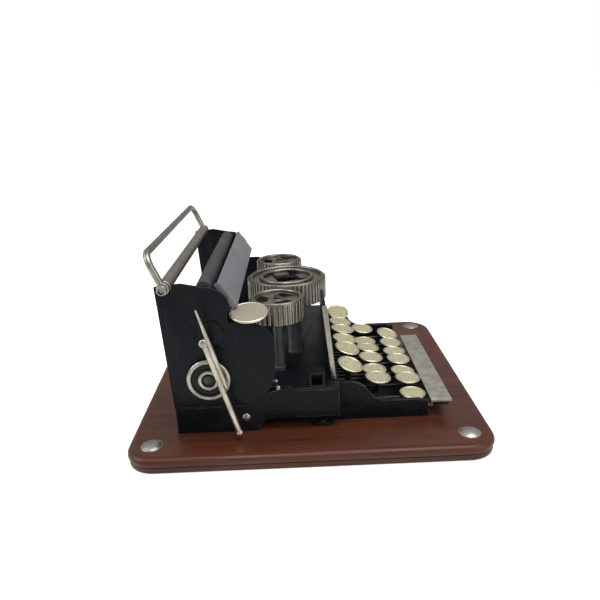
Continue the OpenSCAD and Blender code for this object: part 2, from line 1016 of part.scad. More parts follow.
// A lever with its hub, the stem that leans sideways from it to the cap, and the cap
module key(i) {
    row = i % 3;
    place = floor(i / 3);
    y = row_y[row];
    shift = cap_first[row] + place * cap_spread[row] * lever_pitch - lever_x(i);
    rise = cap_h[row][place] - fulcrum_h;
    color(CREAM)
        translate([lever_x(i), 0, 0]) {
            difference() {
                union() {
                    cross_bar(hub_r, -hub_w / 2, hub_w / 2, fulcrum_y, fulcrum_h);
                    slab(
                        [-lever_t / 2, y - stem_r, fulcrum_h - lever_w / 2],
                        [lever_t / 2, fulcrum_y, fulcrum_h + lever_w / 2]
                    );
                }
                cross_bar(fulcrum_r + fit, -hub_w, hub_w, fulcrum_y, fulcrum_h);
            }
            translate([0, y, up(fulcrum_h)])
                rotate([0, atan2(shift, rise), 0])
                    cylinder(r = stem_r, h = norm([shift, rise]) + 0.8);
            translate([shift, y, up(cap_h[row][place])])
                rotate([key_lean * cap_tilt[row][place], key_lean * cap_roll[row][place], 0])
                    key_cap(key_d / 2, cap_t);
        }
}

// Coil sleeves between the levers' hubs, each with a leg down to the board; one gap holds the space bar's arm
module key_springs() {
    coil_r = 3.2;
    coil_w = lever_pitch - hub_w - 2 * gap;
    color(NICKEL)
        for (i = [0:key_count - 2])
            if (i != bar_arm_gap)
                translate([lever_x(i) + lever_pitch / 2, 0, 0]) {
                    difference() {
                        cross_bar(coil_r, -coil_w / 2, coil_w / 2, fulcrum_y, fulcrum_h);
                        cross_bar(fulcrum_r + 0.3, -coil_w, coil_w, fulcrum_y, fulcrum_h);
                    }
                    translate([0, fulcrum_y + coil_r - 0.5, up(0.2)])
                        cylinder(r = 0.4, h = fulcrum_h, $fn = 16);
                }
}

module fulcrum_rod() {
    color(NICKEL)
        cross_bar(fulcrum_r, -arm_x + 0.8, arm_x - 0.8, fulcrum_y, fulcrum_h);
}

// Worn plate of the space bar with the two arms that carry it back to the fulcrum
module space_bar() {
    plate_low = bar_h - 1.6;
    riser_y = bar_y + bar_w - 2.9;
    color(NICKEL) {
        slab([bar_ends[0], bar_y, plate_low], [bar_ends[1], bar_y + bar_w, bar_h]);
        for (x = bar_arms) {
            difference() {
                cross_bar(hub_r, x - bar_hub_w / 2, x + bar_hub_w / 2, fulcrum_y, fulcrum_h);
                cross_bar(fulcrum_r + fit, x - hub_w, x + hub_w, fulcrum_y, fulcrum_h);
            }
            slab(
                [x - lever_t / 2, riser_y, bar_arm_h[0]],
                [x + lever_t / 2, fulcrum_y - 1.5, bar_arm_h[1]]
            );
            slab([x - lever_t / 2, riser_y, bar_arm_h[0]], [x + lever_t / 2, riser_y + 2, plate_low + 0.2]);
        }
    }
}

// Black beam under the space bar's plate
module space_beam() {
    color(BLACK)
        slab([bar_ends[0] + 2, bar_y + 1.5, 7], [bar_ends[1] - 2, bar_y + bar_w - 3, bar_h - 1.6]);
}

base_board();
corner_studs();
left_frame();
right_frame();
frame_screws();
rear_panel();
deck_plate();
frame_bolts();
frame_lug();
tie_rod();
key_tray();
left_cheek();
right_cheek();
cheek_bolts();
front_panel();
panel_trim();
rear_rod();
bail();
bail_nuts();
carriage_brackets();
platen();
platen_shaft();
paper_plate();
type_ring();
ring_core();
ring_posts();
left_spool();
right_spool();
spool_posts();
side_key();
side_key_guide();
side_wheel();
wheel_spindle();
return_lever();
lever_bracket();
lever_pin();
space_bar();
space_beam();
fulcrum_rod();
key_springs();
for (i = [0:key_count - 1])
    key(i);
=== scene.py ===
import math

import bmesh
import bpy
from mathutils import Euler, Matrix, Vector


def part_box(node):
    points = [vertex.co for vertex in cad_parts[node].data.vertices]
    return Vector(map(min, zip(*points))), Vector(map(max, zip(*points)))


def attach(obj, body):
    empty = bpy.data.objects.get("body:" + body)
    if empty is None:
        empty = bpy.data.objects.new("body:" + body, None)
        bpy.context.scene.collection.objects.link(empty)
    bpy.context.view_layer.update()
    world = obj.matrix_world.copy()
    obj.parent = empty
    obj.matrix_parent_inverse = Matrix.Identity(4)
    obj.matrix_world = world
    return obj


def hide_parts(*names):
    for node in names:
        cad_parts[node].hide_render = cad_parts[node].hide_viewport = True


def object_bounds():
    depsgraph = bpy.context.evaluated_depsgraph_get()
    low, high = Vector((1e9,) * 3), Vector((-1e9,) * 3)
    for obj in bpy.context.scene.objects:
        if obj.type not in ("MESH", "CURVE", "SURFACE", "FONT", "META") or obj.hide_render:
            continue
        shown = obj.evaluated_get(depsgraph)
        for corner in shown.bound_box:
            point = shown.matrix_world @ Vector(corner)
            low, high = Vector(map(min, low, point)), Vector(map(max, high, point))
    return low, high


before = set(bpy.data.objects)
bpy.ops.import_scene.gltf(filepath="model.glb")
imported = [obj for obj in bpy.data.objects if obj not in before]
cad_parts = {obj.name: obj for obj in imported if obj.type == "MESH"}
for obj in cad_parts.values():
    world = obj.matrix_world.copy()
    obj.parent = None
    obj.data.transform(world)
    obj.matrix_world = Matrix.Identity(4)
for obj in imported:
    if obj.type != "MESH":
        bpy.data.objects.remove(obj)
cad_low, cad_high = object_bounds()

# ---- Wooden board ----
# A rectangular mahogany board with round corners. Its upper edge is run with a thumb moulding over
# a fine groove, then it is stained red-brown and brushed with satin varnish.
MM = 0.001


def put(tree, kind, feeds=None, **settings):
    """Adds a node. feeds maps its sockets to values, or to the sockets that drive them."""
    node = tree.nodes.new(kind)
    for name, value in settings.items():
        setattr(node, name, value)
    for socket, value in (feeds or {}).items():
        if isinstance(value, bpy.types.NodeSocket):
            tree.links.new(value, node.inputs[socket])
        else:
            node.inputs[socket].default_value = value
    return node


def tint(tree, share, first, second):
    """The first colour, turning into the second as share goes from 0 to 1."""
    return put(tree, "ShaderNodeMix", {0: share, 6: first, 7: second}, data_type="RGBA").outputs[2]


def spread(tree, value, low, high, at_low=0.0, at_high=1.0):
    """Stretches a value's band from low to high over at_low to at_high, and stops there."""
    return put(tree, "ShaderNodeMapRange", {0: value, 1: low, 2: high, 3: at_low, 4: at_high}).outputs[0]


def calc(tree, operation, first, second=0.0, clamp=False):
    return put(tree, "ShaderNodeMath", {0: first, 1: second}, operation=operation, use_clamp=clamp).outputs[0]


def noise(tree, place, scale, detail=4.0, rough=0.55, stretch=(1, 1, 1), turn=(0, 0, 0)):
    mapped = put(tree, "ShaderNodeMapping", {"Vector": place, "Rotation": turn, "Scale": stretch})
    feeds = {"Vector": mapped.outputs[0], "Scale": scale, "Detail": detail, "Roughness": rough}
    return put(tree, "ShaderNodeTexNoise", feeds).outputs[0]


def colour(red, green, blue):
    return (red, green, blue, 1.0)


def effect(name, inputs, outputs):
    """A shader node group with number inputs, given with their first values, and number outputs."""
    group = bpy.data.node_groups.new(name, "ShaderNodeTree")
    for socket, value in inputs.items():
        made = group.interface.new_socket(name=socket, in_out="INPUT", socket_type="NodeSocketFloat")
        made.default_value = value
    for socket in outputs:
        group.interface.new_socket(name=socket, in_out="OUTPUT", socket_type="NodeSocketFloat")
    return group, group.nodes.new("NodeGroupInput").outputs, group.nodes.new("NodeGroupOutput").inputs


def use_group(tree, group, feeds):
    node = tree.nodes.new("ShaderNodeGroup")
    node.node_tree = group
    for socket, value in feeds.items():
        node.inputs[socket].default_value = value
    return node.outputs


def object_place(tree):
    return put(tree, "ShaderNodeTexCoord").outputs["Object"]


def bare_material(name, **fixed):
    """A material with fixed values on its shader. Returns it, its tree and the shader's inputs."""
    made = bpy.data.materials.new(name)
    made.use_nodes = True
    shader = made.node_tree.nodes["Principled BSDF"]
    for socket, value in fixed.items():
        shader.inputs[socket.replace("_", " ")].default_value = value
    return made, made.node_tree, shader.inputs


def relief(tree, shader, height, depth):
    """Feeds a height between 0 and 1 to the shader's normal, as relief of that depth in metres."""
    bump = put(tree, "ShaderNodeBump", {"Strength": 1.0, "Distance": depth, "Height": height})
    tree.links.new(bump.outputs[0], shader["Normal"])


# Painted shade in corners, grooves and where parts meet, read from ambient occlusion; some of it stands for
# grime settled there
shade_and_dirt_group, given, result = effect("painted_shade_and_dirt", {"Reach": 0.003, "Low": 0.25, "High": 0.8}, ["Depth"])
shut = put(shade_and_dirt_group, "ShaderNodeAmbientOcclusion", {"Distance": given["Reach"]}, samples=6)
closed = calc(shade_and_dirt_group, "SUBTRACT", 1.0, shut.outputs["AO"])
shade_and_dirt = put(shade_and_dirt_group, "ShaderNodeMapRange", {0: closed, 1: given["Low"], 2: given["High"]})
shade_and_dirt_place = object_place(shade_and_dirt_group)
broken = spread(shade_and_dirt_group, noise(shade_and_dirt_group, shade_and_dirt_place, 420.0, 3.0), 0.3, 0.65, 0.55, 1.0)
shade_and_dirt_group.links.new(calc(shade_and_dirt_group, "MULTIPLY", shade_and_dirt.outputs[0], broken), result["Depth"])

# Clouding and small specks of handling and age
age_group, given, result = effect(
    "age_marks", {"Cloud Scale": 60.0, "Speck Scale": 900.0}, ["Cloud", "Speck"]
)
age_place = object_place(age_group)
cloud = put(
    age_group, "ShaderNodeTexNoise", {"Vector": age_place, "Scale": given["Cloud Scale"], "Detail": 5.0}
)
speck = put(
    age_group, "ShaderNodeTexNoise", {"Vector": age_place, "Scale": given["Speck Scale"], "Detail": 3.0}
)
age_group.links.new(spread(age_group, cloud.outputs[0], 0.34, 0.66), result["Cloud"])
age_group.links.new(spread(age_group, speck.outputs[0], 0.58, 0.72), result["Speck"])

varnished_wood, tree, shader = bare_material("varnished_wood", Coat_Roughness=0.16, Specular_IOR_Level=0.3)
place = object_place(tree)
fibres = noise(tree, place, 260.0, 7.0, 0.62, (1.0, 0.06, 1.0))
figure = noise(tree, place, 34.0, 5.0, 0.6, (1.0, 0.22, 1.0), (0, 0, 0.05))
pores = noise(tree, place, 900.0, 2.0, 0.5, (1.0, 0.035, 1.0))
age = use_group(tree, age_group, {"Cloud Scale": 22.0, "Speck Scale": 1400.0})
wood_colour = tint(tree, spread(tree, figure, 0.3, 0.72), colour(0.030, 0.008, 0.004), colour(0.090, 0.023, 0.011))
wood_colour = tint(tree, spread(tree, fibres, 0.3, 0.75, 0.0, 0.55), wood_colour, colour(0.120, 0.036, 0.016))
wood_colour = tint(tree, spread(tree, pores, 0.60, 0.74, 0.0, 0.75), wood_colour, colour(0.014, 0.005, 0.003))
# Painted shade: the board darkens almost to black in the groove of its moulding and close round the foot of
# the machine, where shade falls
shade_and_dirt_depth = use_group(tree, shade_and_dirt_group, {"Reach": 0.0030, "Low": 0.30, "High": 0.85})["Depth"]
wood_colour = tint(tree, calc(tree, "MULTIPLY", shade_and_dirt_depth, 0.85), wood_colour, colour(0.010, 0.004, 0.003))
dusty = calc(tree, "MULTIPLY", age["Speck"], 0.25)
tree.links.new(tint(tree, dusty, wood_colour, colour(0.15, 0.08, 0.055)), shader["Base Color"])
tree.links.new(spread(tree, age["Cloud"], 0.0, 1.0, 0.30, 0.44), shader["Roughness"])
tree.links.new(spread(tree, age["Cloud"], 0.0, 1.0, 0.16, 0.08), shader["Coat Weight"])
relief(tree, shader, calc(tree, "SUBTRACT", fibres, calc(tree, "MULTIPLY", pores, 0.5)), 0.00006)


def make_piece(name, parts, finish, body, stands_for=(), sharp=38.0):
    """One mesh object from parts of (points, faces) in millimetres, closed, smoothed and put on its body."""
    mesh = bpy.data.meshes.new(name)
    work = bmesh.new()
    for points, faces in parts:
        spots = [work.verts.new(Vector(p) * MM) for p in points]
        for face in faces:
            work.faces.new([spots[k] for k in face])
    bmesh.ops.recalc_face_normals(work, faces=work.faces)
    work.to_mesh(mesh)
    work.free()
    return settle(mesh, name, finish, body, stands_for, sharp)


def settle(mesh, name, finish, body, stands_for=(), sharp=38.0):
    """Gives a finished mesh its shading and its material, puts it on its body and hides the CAD nodes it
    stands for.
    """
    for face in mesh.polygons:
        face.use_smooth = True
    if sharp:
        mesh.set_sharp_from_angle(angle=math.radians(sharp))
    mesh.materials.clear()
    mesh.materials.append(finish)
    piece = bpy.data.objects.new(name, mesh)
    bpy.context.scene.collection.objects.link(piece)
    if stands_for:
        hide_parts(*stands_for)
    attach(piece, body)
    return piece


BOARD_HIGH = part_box("base_board")[1] / MM
BOARD_TOP = BOARD_HIGH.z
CORNER_R = 20.0
BEAD_R = 3.6
BEAD_MID = BOARD_TOP - BEAD_R - 0.6
edge_run = [
    (2.4, 0.0), (1.2, 0.25), (0.85, 0.9), (0.8, 1.6), (0.8, 3.9), (0.95, 4.2), (1.5, 4.45), (1.62, 4.6)
]
for step in range(-34, 91, 6):
    swing = math.radians(step)
    edge_run.append((BEAD_R * (1 - math.cos(swing)), BEAD_MID + BEAD_R * math.sin(swing)))
edge_run += [
    (BEAD_R + 0.15, BOARD_TOP - 0.58), (BEAD_R + 0.22, BOARD_TOP - 0.3), (BEAD_R + 0.34, BOARD_TOP - 0.1)
]
edge_run += [(BEAD_R + 0.6, BOARD_TOP - 0.01), (BEAD_R + 1.2, BOARD_TOP)]


def board_ring(inset, height):
    """The board's outline, drawn in by inset, at a height."""
    ring = []
    half = Vector((BOARD_HIGH.x - CORNER_R, BOARD_HIGH.y - CORNER_R))
    for corner, (sx, sy) in enumerate(((1, 1), (-1, 1), (-1, -1), (1, -1))):
        for k in range(15):
            swing = math.radians(90 * corner + 90 * k / 14)
            reach = CORNER_R - inset
            ring.append(
                (sx * half.x + reach * math.cos(swing), sy * half.y + reach * math.sin(swing), height)
            )
    return ring


board_points = [p for inset, height in edge_run for p in board_ring(inset, height)]
ring_n = len(board_ring(0, 0))
board_faces = [list(range(ring_n))[::-1], [(len(edge_run) - 1) * ring_n + k for k in range(ring_n)]]
for row in range(len(edge_run) - 1):
    for k in range(ring_n):
        along = (k + 1) % ring_n
        board_faces.append(
            [row * ring_n + k, row * ring_n + along, (row + 1) * ring_n + along, (row + 1) * ring_n + k]
        )
make_piece("board", [(board_points, board_faces)], varnished_wood, "frame", ["base_board"])

# ---- Corner studs and screws ----
# Four nickelled dome studs are pressed into the board's corners. Slotted round-head screws of worn
# nickel hold the frame to the board, the deck to the frame and the cheeks to the frame's lugs.


def turned(profile, sides=64, closed=False):
    """A lathe-turned part round Z from (radius, height) steps. A closed profile makes a ring."""
    points, rows = [], []
    for radius, height in profile:
        if radius < 1e-6:
            rows.append([len(points)] * sides)
            points.append((0.0, 0.0, height))
            continue
        rows.append(list(range(len(points), len(points) + sides)))
        for k in range(sides):
            swing = 2 * math.pi * k / sides
            points.append((radius * math.cos(swing), radius * math.sin(swing), height))
    faces = []
    pairs = list(zip(rows, rows[1:])) + ([(rows[-1], rows[0])] if closed else [])
    for low, high in pairs:
        for k in range(sides):
            along = (k + 1) % sides
            corners = []
            for spot in (low[k], low[along], high[along], high[k]):
                if spot not in corners:
                    corners.append(spot)
            if len(corners) > 2:
                faces.append(corners)
    return points, faces


def arc(mid_r, mid_h, radius, start, stop, steps=8):
    """Profile steps along an arc, its angles in degrees from outwards towards up."""
    swings = [math.radians(start + (stop - start) * k / steps) for k in range(steps + 1)]
    return [(max(0.0, mid_r + radius * math.cos(a)), mid_h + radius * math.sin(a)) for a in swings]


def moved(part, matrix):
    return [tuple(matrix @ Vector(p)) for p in part[0]], part[1]


def facing(direction, x, y, z):
    """Stands a part's Z axis along +X, -X, +Y, -Y or +Z, at a place."""
    turns = {"+X": ("Y", 90), "-X": ("Y", -90), "+Y": ("X", -90), "-Y": ("X", 90), "+Z": ("Z", 0)}
    axis, angle = turns[direction]
    return Matrix.Translation((x, y, z)) @ Matrix.Rotation(math.radians(angle), 4, axis)


def bare_mesh(name, parts):
    mesh = bpy.data.meshes.new(name)
    points, faces = [], []
    for some_points, some_faces in parts:
        faces += [[k + len(points) for k in face] for face in some_faces]
        points += [tuple(Vector(p) * MM) for p in some_points]
    mesh.from_pydata(points, [], faces)
    work = bmesh.new()
    work.from_mesh(mesh)
    bmesh.ops.recalc_face_normals(work, faces=work.faces)
    work.to_mesh(mesh)
    work.free()
    return mesh


def loose_object(name, mesh):
    made = bpy.data.objects.new(name, mesh)
    bpy.context.scene.collection.objects.link(made)
    return made


def evaluated(made):
    """The mesh of an object with its modifiers applied. The object is removed."""
    bpy.context.view_layer.update()
    mesh = bpy.data.meshes.new_from_object(made.evaluated_get(bpy.context.evaluated_depsgraph_get()))
    bpy.data.objects.remove(made)
    return mesh


def box_part(low, high):
    points = [(x, y, z) for x in (low[0], high[0]) for y in (low[1], high[1]) for z in (low[2], high[2])]
    return points, [(0, 1, 3, 2), (4, 6, 7, 5), (0, 4, 5, 1), (2, 3, 7, 6), (0, 2, 6, 4), (1, 5, 7, 3)]


def slotted_screw(head_r, head_h, shank_r, shank_l):
    """A round-head screw with a driver slot, its head standing on z = 0 and its shank below."""
    crown = [(head_r, 0.0), (head_r, head_h * 0.35)]
    crown += [(head_r * math.cos(a), head_h * (0.35 + 0.65 * math.sin(a))) for a in (0.35, 0.7, 1.05, 1.3)]
    tip = [(0.0, -shank_l), (shank_r * 0.5, -shank_l), (shank_r, -shank_l + 0.6), (shank_r, 0.0)]
    screw = loose_object("screw_blank", bare_mesh("screw_blank", [turned(tip + crown + [(0.0, head_h)], 32)]))
    groove = [
        box_part((-head_r * 1.2, -head_r * 0.13, head_h * 0.55), (head_r * 1.2, head_r * 0.13, head_h * 2))
    ]
    cutter = loose_object("slot_cutter", bare_mesh("slot_cutter", groove))
    cut = screw.modifiers.new("slot", "BOOLEAN")
    cut.object = cutter
    cut.operation = "DIFFERENCE"
    cut.solver = "EXACT"
    mesh = evaluated(screw)
    bpy.data.objects.remove(cutter)
    return mesh


# Sets a copy of one fastener on every mark, turned as the mark's "turn" says
set_tree = bpy.data.node_groups.new("set_fasteners", "GeometryNodeTree")
for socket, kind in (("Marks", "Geometry"), ("Fastener", "Object"), ("Finish", "Material")):
    set_tree.interface.new_socket(name=socket, in_out="INPUT", socket_type="NodeSocket" + kind)
set_tree.interface.new_socket(name="Set", in_out="OUTPUT", socket_type="NodeSocketGeometry")
given = set_tree.nodes.new("NodeGroupInput").outputs
turns = put(set_tree, "GeometryNodeInputNamedAttribute", {"Name": "turn"}, data_type="FLOAT_VECTOR")
aimed = put(set_tree, "FunctionNodeEulerToRotation", {0: turns.outputs[0]})
fastener = put(set_tree, "GeometryNodeObjectInfo", {"Object": given["Fastener"]})
copies = put(
    set_tree, "GeometryNodeInstanceOnPoints", {"Points": given["Marks"], "Rotation": aimed.outputs[0]}
)
set_tree.links.new(fastener.outputs["Geometry"], copies.inputs["Instance"])
solid = put(set_tree, "GeometryNodeRealizeInstances", {0: copies.outputs[0]})
painted = put(
    set_tree, "GeometryNodeSetMaterial", {"Geometry": solid.outputs[0], "Material": given["Finish"]}
)
put(set_tree, "NodeGroupOutput", {0: painted.outputs[0]})


def sockets_of(tree):
    """The identifiers of a tree's inputs by their names."""
    return {s.name: s.identifier for s in tree.interface.items_tree if s.in_out == "INPUT"}


def set_fasteners(fastener_mesh, marks, finish):
    """A mesh of the fastener on every mark, each mark a place in millimetres and three turns in degrees."""
    mesh = bpy.data.meshes.new("marks")
    mesh.from_pydata([tuple(Vector(place) * MM) for place, turn in marks], [], [])
    turn_data = mesh.attributes.new("turn", "FLOAT_VECTOR", "POINT")
    for k, (place, turn) in enumerate(marks):
        turn_data.data[k].vector = [math.radians(t) for t in turn]
    source = loose_object("fastener", fastener_mesh)
    carrier = loose_object("marks", mesh)
    setting = carrier.modifiers.new("set", "NODES")
    setting.node_group = set_tree
    names = sockets_of(set_tree)
    setting[names["Fastener"]] = source
    setting[names["Finish"]] = finish
    made = evaluated(carrier)
    bpy.data.objects.remove(source)
    return made


def joined(meshes):
    """One mesh of several."""
    work = bmesh.new()
    for mesh in meshes:
        work.from_mesh(mesh)
    made = bpy.data.meshes.new("joined")
    work.to_mesh(made)
    work.free()
    return made


# Fine rubbing marks, one set along each of two slants
rub_group, given, result = effect("rubbing_marks", {"Scale": 500.0, "Low": 0.6, "High": 0.72}, ["Mark"])
rub_place = object_place(rub_group)
rubs = []
for rub_turn, rub_stretch in (((0.3, 0.5, 0.9), (1.0, 0.04, 1.0)), ((0.9, -0.4, 2.1), (1.0, 1.0, 0.05))):
    slanted = put(
        rub_group, "ShaderNodeMapping", {"Vector": rub_place, "Rotation": rub_turn, "Scale": rub_stretch}
    )
    streak = put(
        rub_group, "ShaderNodeTexNoise",
        {"Vector": slanted.outputs[0], "Scale": given["Scale"], "Detail": 2.0}
    )
    rubs.append(
        put(
            rub_group, "ShaderNodeMapRange", {0: streak.outputs[0], 1: given["Low"], 2: given["High"]}
        ).outputs[0]
    )
rub_group.links.new(calc(rub_group, "MAXIMUM", rubs[0], rubs[1]), result["Mark"])


def nickel_finish(name, bright, dull, tarnish, rough, recess_reach=0.0022, recess_low=0.35):
    """Worn nickel plate: clouded and scuffed, and darkened in its hollows, partly by tarnish and partly by
    painted shade.
    """
    made, tree, shader = bare_material(name, Metallic=1.0)
    age = use_group(tree, age_group, {"Cloud Scale": 95.0, "Speck Scale": 1500.0})
    mark = use_group(tree, rub_group, {"Scale": 700.0, "Low": 0.56, "High": 0.74})["Mark"]
    shade_and_dirt_depth = use_group(tree, shade_and_dirt_group, {"Reach": recess_reach, "Low": recess_low, "High": 0.85})["Depth"]
    metal = tint(tree, age["Cloud"], colour(*bright), colour(*dull))
    metal = tint(tree, calc(tree, "MULTIPLY", age["Speck"], 0.6), metal, colour(*tarnish))
    # Hollows darken towards a deep tarnish colour: partly tarnish, partly painted shade
    metal = tint(tree, calc(tree, "MULTIPLY", shade_and_dirt_depth, 0.9), metal, colour(*(0.45 * c for c in tarnish)))
    tree.links.new(
        tint(tree, calc(tree, "MULTIPLY", mark, 0.3), metal, colour(*bright)), shader["Base Color"]
    )
    worn = calc(
        tree, "ADD", spread(tree, age["Cloud"], 0.0, 1.0, rough, rough + 0.16),
        calc(tree, "MULTIPLY", shade_and_dirt_depth, 0.3)
    )
    tree.links.new(
        calc(tree, "ADD", worn, calc(tree, "MULTIPLY", age["Speck"], 0.18), True), shader["Roughness"]
    )
    pits = calc(tree, "SUBTRACT", calc(tree, "MULTIPLY", mark, -0.4), age["Speck"])
    relief(tree, shader, pits, 0.00003)
    return made


nickel = nickel_finish("nickel", (0.45, 0.42, 0.365), (0.28, 0.26, 0.22), (0.10, 0.085, 0.065), 0.28)
stud_nickel = nickel_finish("stud_nickel", (0.56, 0.54, 0.50), (0.38, 0.36, 0.33), (0.15, 0.13, 0.11), 0.24)

dull_screw = nickel_finish("dull_screw", (0.10, 0.095, 0.085), (0.06, 0.056, 0.05), (0.03, 0.025, 0.02), 0.45)

STUD_R = 7.2
DOME_H = 2.2
dome_r = (STUD_R**2 + DOME_H**2) / (2 * DOME_H)
dome_swing = math.degrees(math.asin((STUD_R - 0.35) / dome_r))
stud_run = [
    (0.0, -6.5), (0.8, -6.4), (1.1, -6.0), (1.1, 0.0), (STUD_R - 0.2, 0.0), (STUD_R, 0.12),
    (STUD_R - 0.12, 0.24)
]
stud_run += arc(0.0, DOME_H - dome_r, dome_r, 90 - dome_swing, 90, 14)[:-1] + [(0.0, DOME_H)]
stud_low, stud_high = (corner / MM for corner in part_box("corner_studs"))
stud_spots = [
    (x, y) for x in (
        stud_low.x + STUD_R, stud_high.x - STUD_R
    ) for y in (stud_low.y + STUD_R, stud_high.y - STUD_R)
]
stud_marks = [((x, y, BOARD_TOP), (0, 0, 37 * x)) for x, y in stud_spots]
studs = set_fasteners(bare_mesh("stud", [turned(stud_run)]), stud_marks, stud_nickel)
settle(studs, "dome_studs", stud_nickel, "frame", ["corner_studs"])

WALL_X = 80.5
FRAME_X = 84.0
FOOT_SCREW_X = 77.5
FOOT_SCREW_YS = (74, -9)
DECK_SCREW_AT = (72.5, 22)
SHOULDER_SCREW_AT = (82, 20)
TIE_AT = (42, 11)
CHEEK_BOLT_YS = (52, 78)
CHEEK_BOLT_H = 27
DECK_H = 30
board_marks = [
    (
        (x, y, BOARD_TOP + 2), (0, 0, 31 * x + 50 * y)
    ) for x in (-FOOT_SCREW_X, FOOT_SCREW_X) for y in FOOT_SCREW_YS
]
screws = set_fasteners(slotted_screw(2.6, 1.5, 1.4, 8.5), board_marks, dull_screw)
settle(screws, "board_screws", dull_screw, "frame", ["frame_screws"])
deck_marks = [
    ((x, DECK_SCREW_AT[1], BOARD_TOP + DECK_H), (0, 0, 40 + x)) for x in (-DECK_SCREW_AT[0], DECK_SCREW_AT[0])
]
shoulder_marks = [
    (
        (x, SHOULDER_SCREW_AT[1], BOARD_TOP + 29.4), (0, 0, 10 + x)
    ) for x in (-SHOULDER_SCREW_AT[0], SHOULDER_SCREW_AT[0])
]
skirt_marks = [((side * FRAME_X, TIE_AT[0], BOARD_TOP + TIE_AT[1]), (0, 90 * side, 0)) for side in (-1, 1)]
small_screws = set_fasteners(slotted_screw(1.9, 1.8, 0.85, 5), deck_marks, nickel)
tall_screws = set_fasteners(slotted_screw(1.7, 2.4, 0.85, 5), shoulder_marks, nickel)
tie_screws = set_fasteners(slotted_screw(3.0, 2.6, 1.2, 7.5), skirt_marks, nickel)
settle(
    joined([small_screws, tall_screws, tie_screws]), "deck_and_tie_screws", nickel, "frame",
    ["frame_bolts"]
)
cheek_marks = [
    (
        (-side * WALL_X, y, BOARD_TOP + CHEEK_BOLT_H), (0, 90 * side, 0)
    ) for side in (-1, 1) for y in CHEEK_BOLT_YS
]
settle(
    set_fasteners(slotted_screw(2.8, 2.0, 1.2, 5.1), cheek_marks, nickel),
    "cheek_screws", nickel, "frame", ["cheek_bolts"],
)

# ---- Lower frame, deck and key tray ----
# The frame's two side walls are castings with a bead, lugs and a rolled keyboard arm. A sheet deck
# is screwed across them, a sheet closes the back, and all are stove-enamelled blue-black.


# Edges where handling has rubbed the finish thin
edge_group, given, result = effect("rubbed_edges", {"Width": 0.0006, "Low": 0.03, "High": 0.3}, ["Edge"])
rounded = put(edge_group, "ShaderNodeBevel", {"Radius": given["Width"]}, samples=4)
square_on = edge_group.nodes.new("ShaderNodeNewGeometry").outputs["Normal"]
lined = put(
    edge_group, "ShaderNodeVectorMath", {0: rounded.outputs[0], 1: square_on}, operation="DOT_PRODUCT"
)
turned_away = calc(edge_group, "SUBTRACT", 1.0, lined.outputs["Value"])
rubbed = put(edge_group, "ShaderNodeMapRange", {0: turned_away, 1: given["Low"], 2: given["High"]})
edge_place = object_place(edge_group)
patchy = spread(edge_group, noise(edge_group, edge_place, 210.0, 5.0, 0.65), 0.38, 0.62)
edge_group.links.new(calc(edge_group, "MULTIPLY", rubbed.outputs[0], patchy), result["Edge"])


def enamel_finish(name, edge_colour, edge_share, sheen_rough):
    """Blue-black stoving enamel: faint orange peel, handling haze, dust specks, rubbed edges and painted
    shade in the corners.
    """
    made, tree, shader = bare_material(name, Specular_IOR_Level=0.15)
    place = object_place(tree)
    age = use_group(tree, age_group, {"Cloud Scale": 38.0, "Speck Scale": 1100.0})
    mark = use_group(tree, rub_group, {"Scale": 520.0, "Low": 0.62, "High": 0.80})["Mark"]
    edge = use_group(tree, edge_group, {"Width": 0.0007, "Low": 0.02, "High": 0.22})["Edge"]
    shade_and_dirt_depth = use_group(tree, shade_and_dirt_group, {"Reach": 0.004, "Low": 0.45, "High": 0.95})["Depth"]
    coat = tint(tree, age["Cloud"], colour(0.0030, 0.0040, 0.0056), colour(0.0058, 0.0074, 0.0098))
    coat = tint(tree, calc(tree, "MULTIPLY", age["Speck"], 0.35), coat, colour(0.050, 0.048, 0.044))
    coat = tint(tree, calc(tree, "MULTIPLY", mark, 0.10), coat, colour(0.075, 0.078, 0.082))
    # Painted shade: corners and recesses are darkened further
    coat = tint(tree, calc(tree, "MULTIPLY", shade_and_dirt_depth, 0.6), coat, colour(0.004, 0.004, 0.004))
    share = calc(tree, "MULTIPLY", edge, edge_share)
    tree.links.new(tint(tree, share, coat, colour(*edge_colour)), shader["Base Color"])
    tree.links.new(calc(tree, "MULTIPLY", share, 0.75), shader["Metallic"])
    hazy = spread(tree, age["Cloud"], 0.0, 1.0, sheen_rough, sheen_rough + 0.14)
    tree.links.new(
        calc(tree, "ADD", hazy, calc(tree, "MULTIPLY", age["Speck"], 0.15), True), shader["Roughness"]
    )
    peel = noise(tree, place, 620.0, 2.0, 0.4)
    relief(tree, shader, calc(tree, "SUBTRACT", peel, calc(tree, "MULTIPLY", share, 0.5)), 0.00004)
    return made


enamel = enamel_finish("black_enamel", (0.12, 0.095, 0.075), 0.6, 0.27)
rubbed_enamel = enamel_finish("rubbed_enamel", (0.26, 0.23, 0.19), 0.8, 0.32)


def softened(node, finish, width=0.4, body="frame", steps=3, name=None):
    """A CAD node's own shape with its hard edges rounded over, as casting, folding and enamel leave them."""
    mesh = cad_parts[node].data.copy()
    work = bmesh.new()
    work.from_mesh(mesh)
    bmesh.ops.remove_doubles(work, verts=work.verts, dist=2e-6)
    bmesh.ops.dissolve_limit(work, angle_limit=math.radians(0.8), verts=work.verts, edges=work.edges)
    work.to_mesh(mesh)
    work.free()
    for face in mesh.polygons:
        face.use_smooth = True
    made = loose_object("softening", mesh)
    rounding = made.modifiers.new("edges", "BEVEL")
    rounding.width = width * MM
    rounding.segments = steps
    rounding.limit_method = "ANGLE"
    rounding.angle_limit = math.radians(32)
    rounding.harden_normals = True
    done = evaluated(made)
    return settle(done, name or node + "_body", finish, body, [node], 0)


softened("left_frame", rubbed_enamel, 0.45)
softened("right_frame", rubbed_enamel, 0.45)
softened("rear_panel", enamel, 0.4)
softened("deck_plate", rubbed_enamel, 0.4)
softened("frame_lug", rubbed_enamel, 0.35)
softened("key_tray", enamel, 0.35)

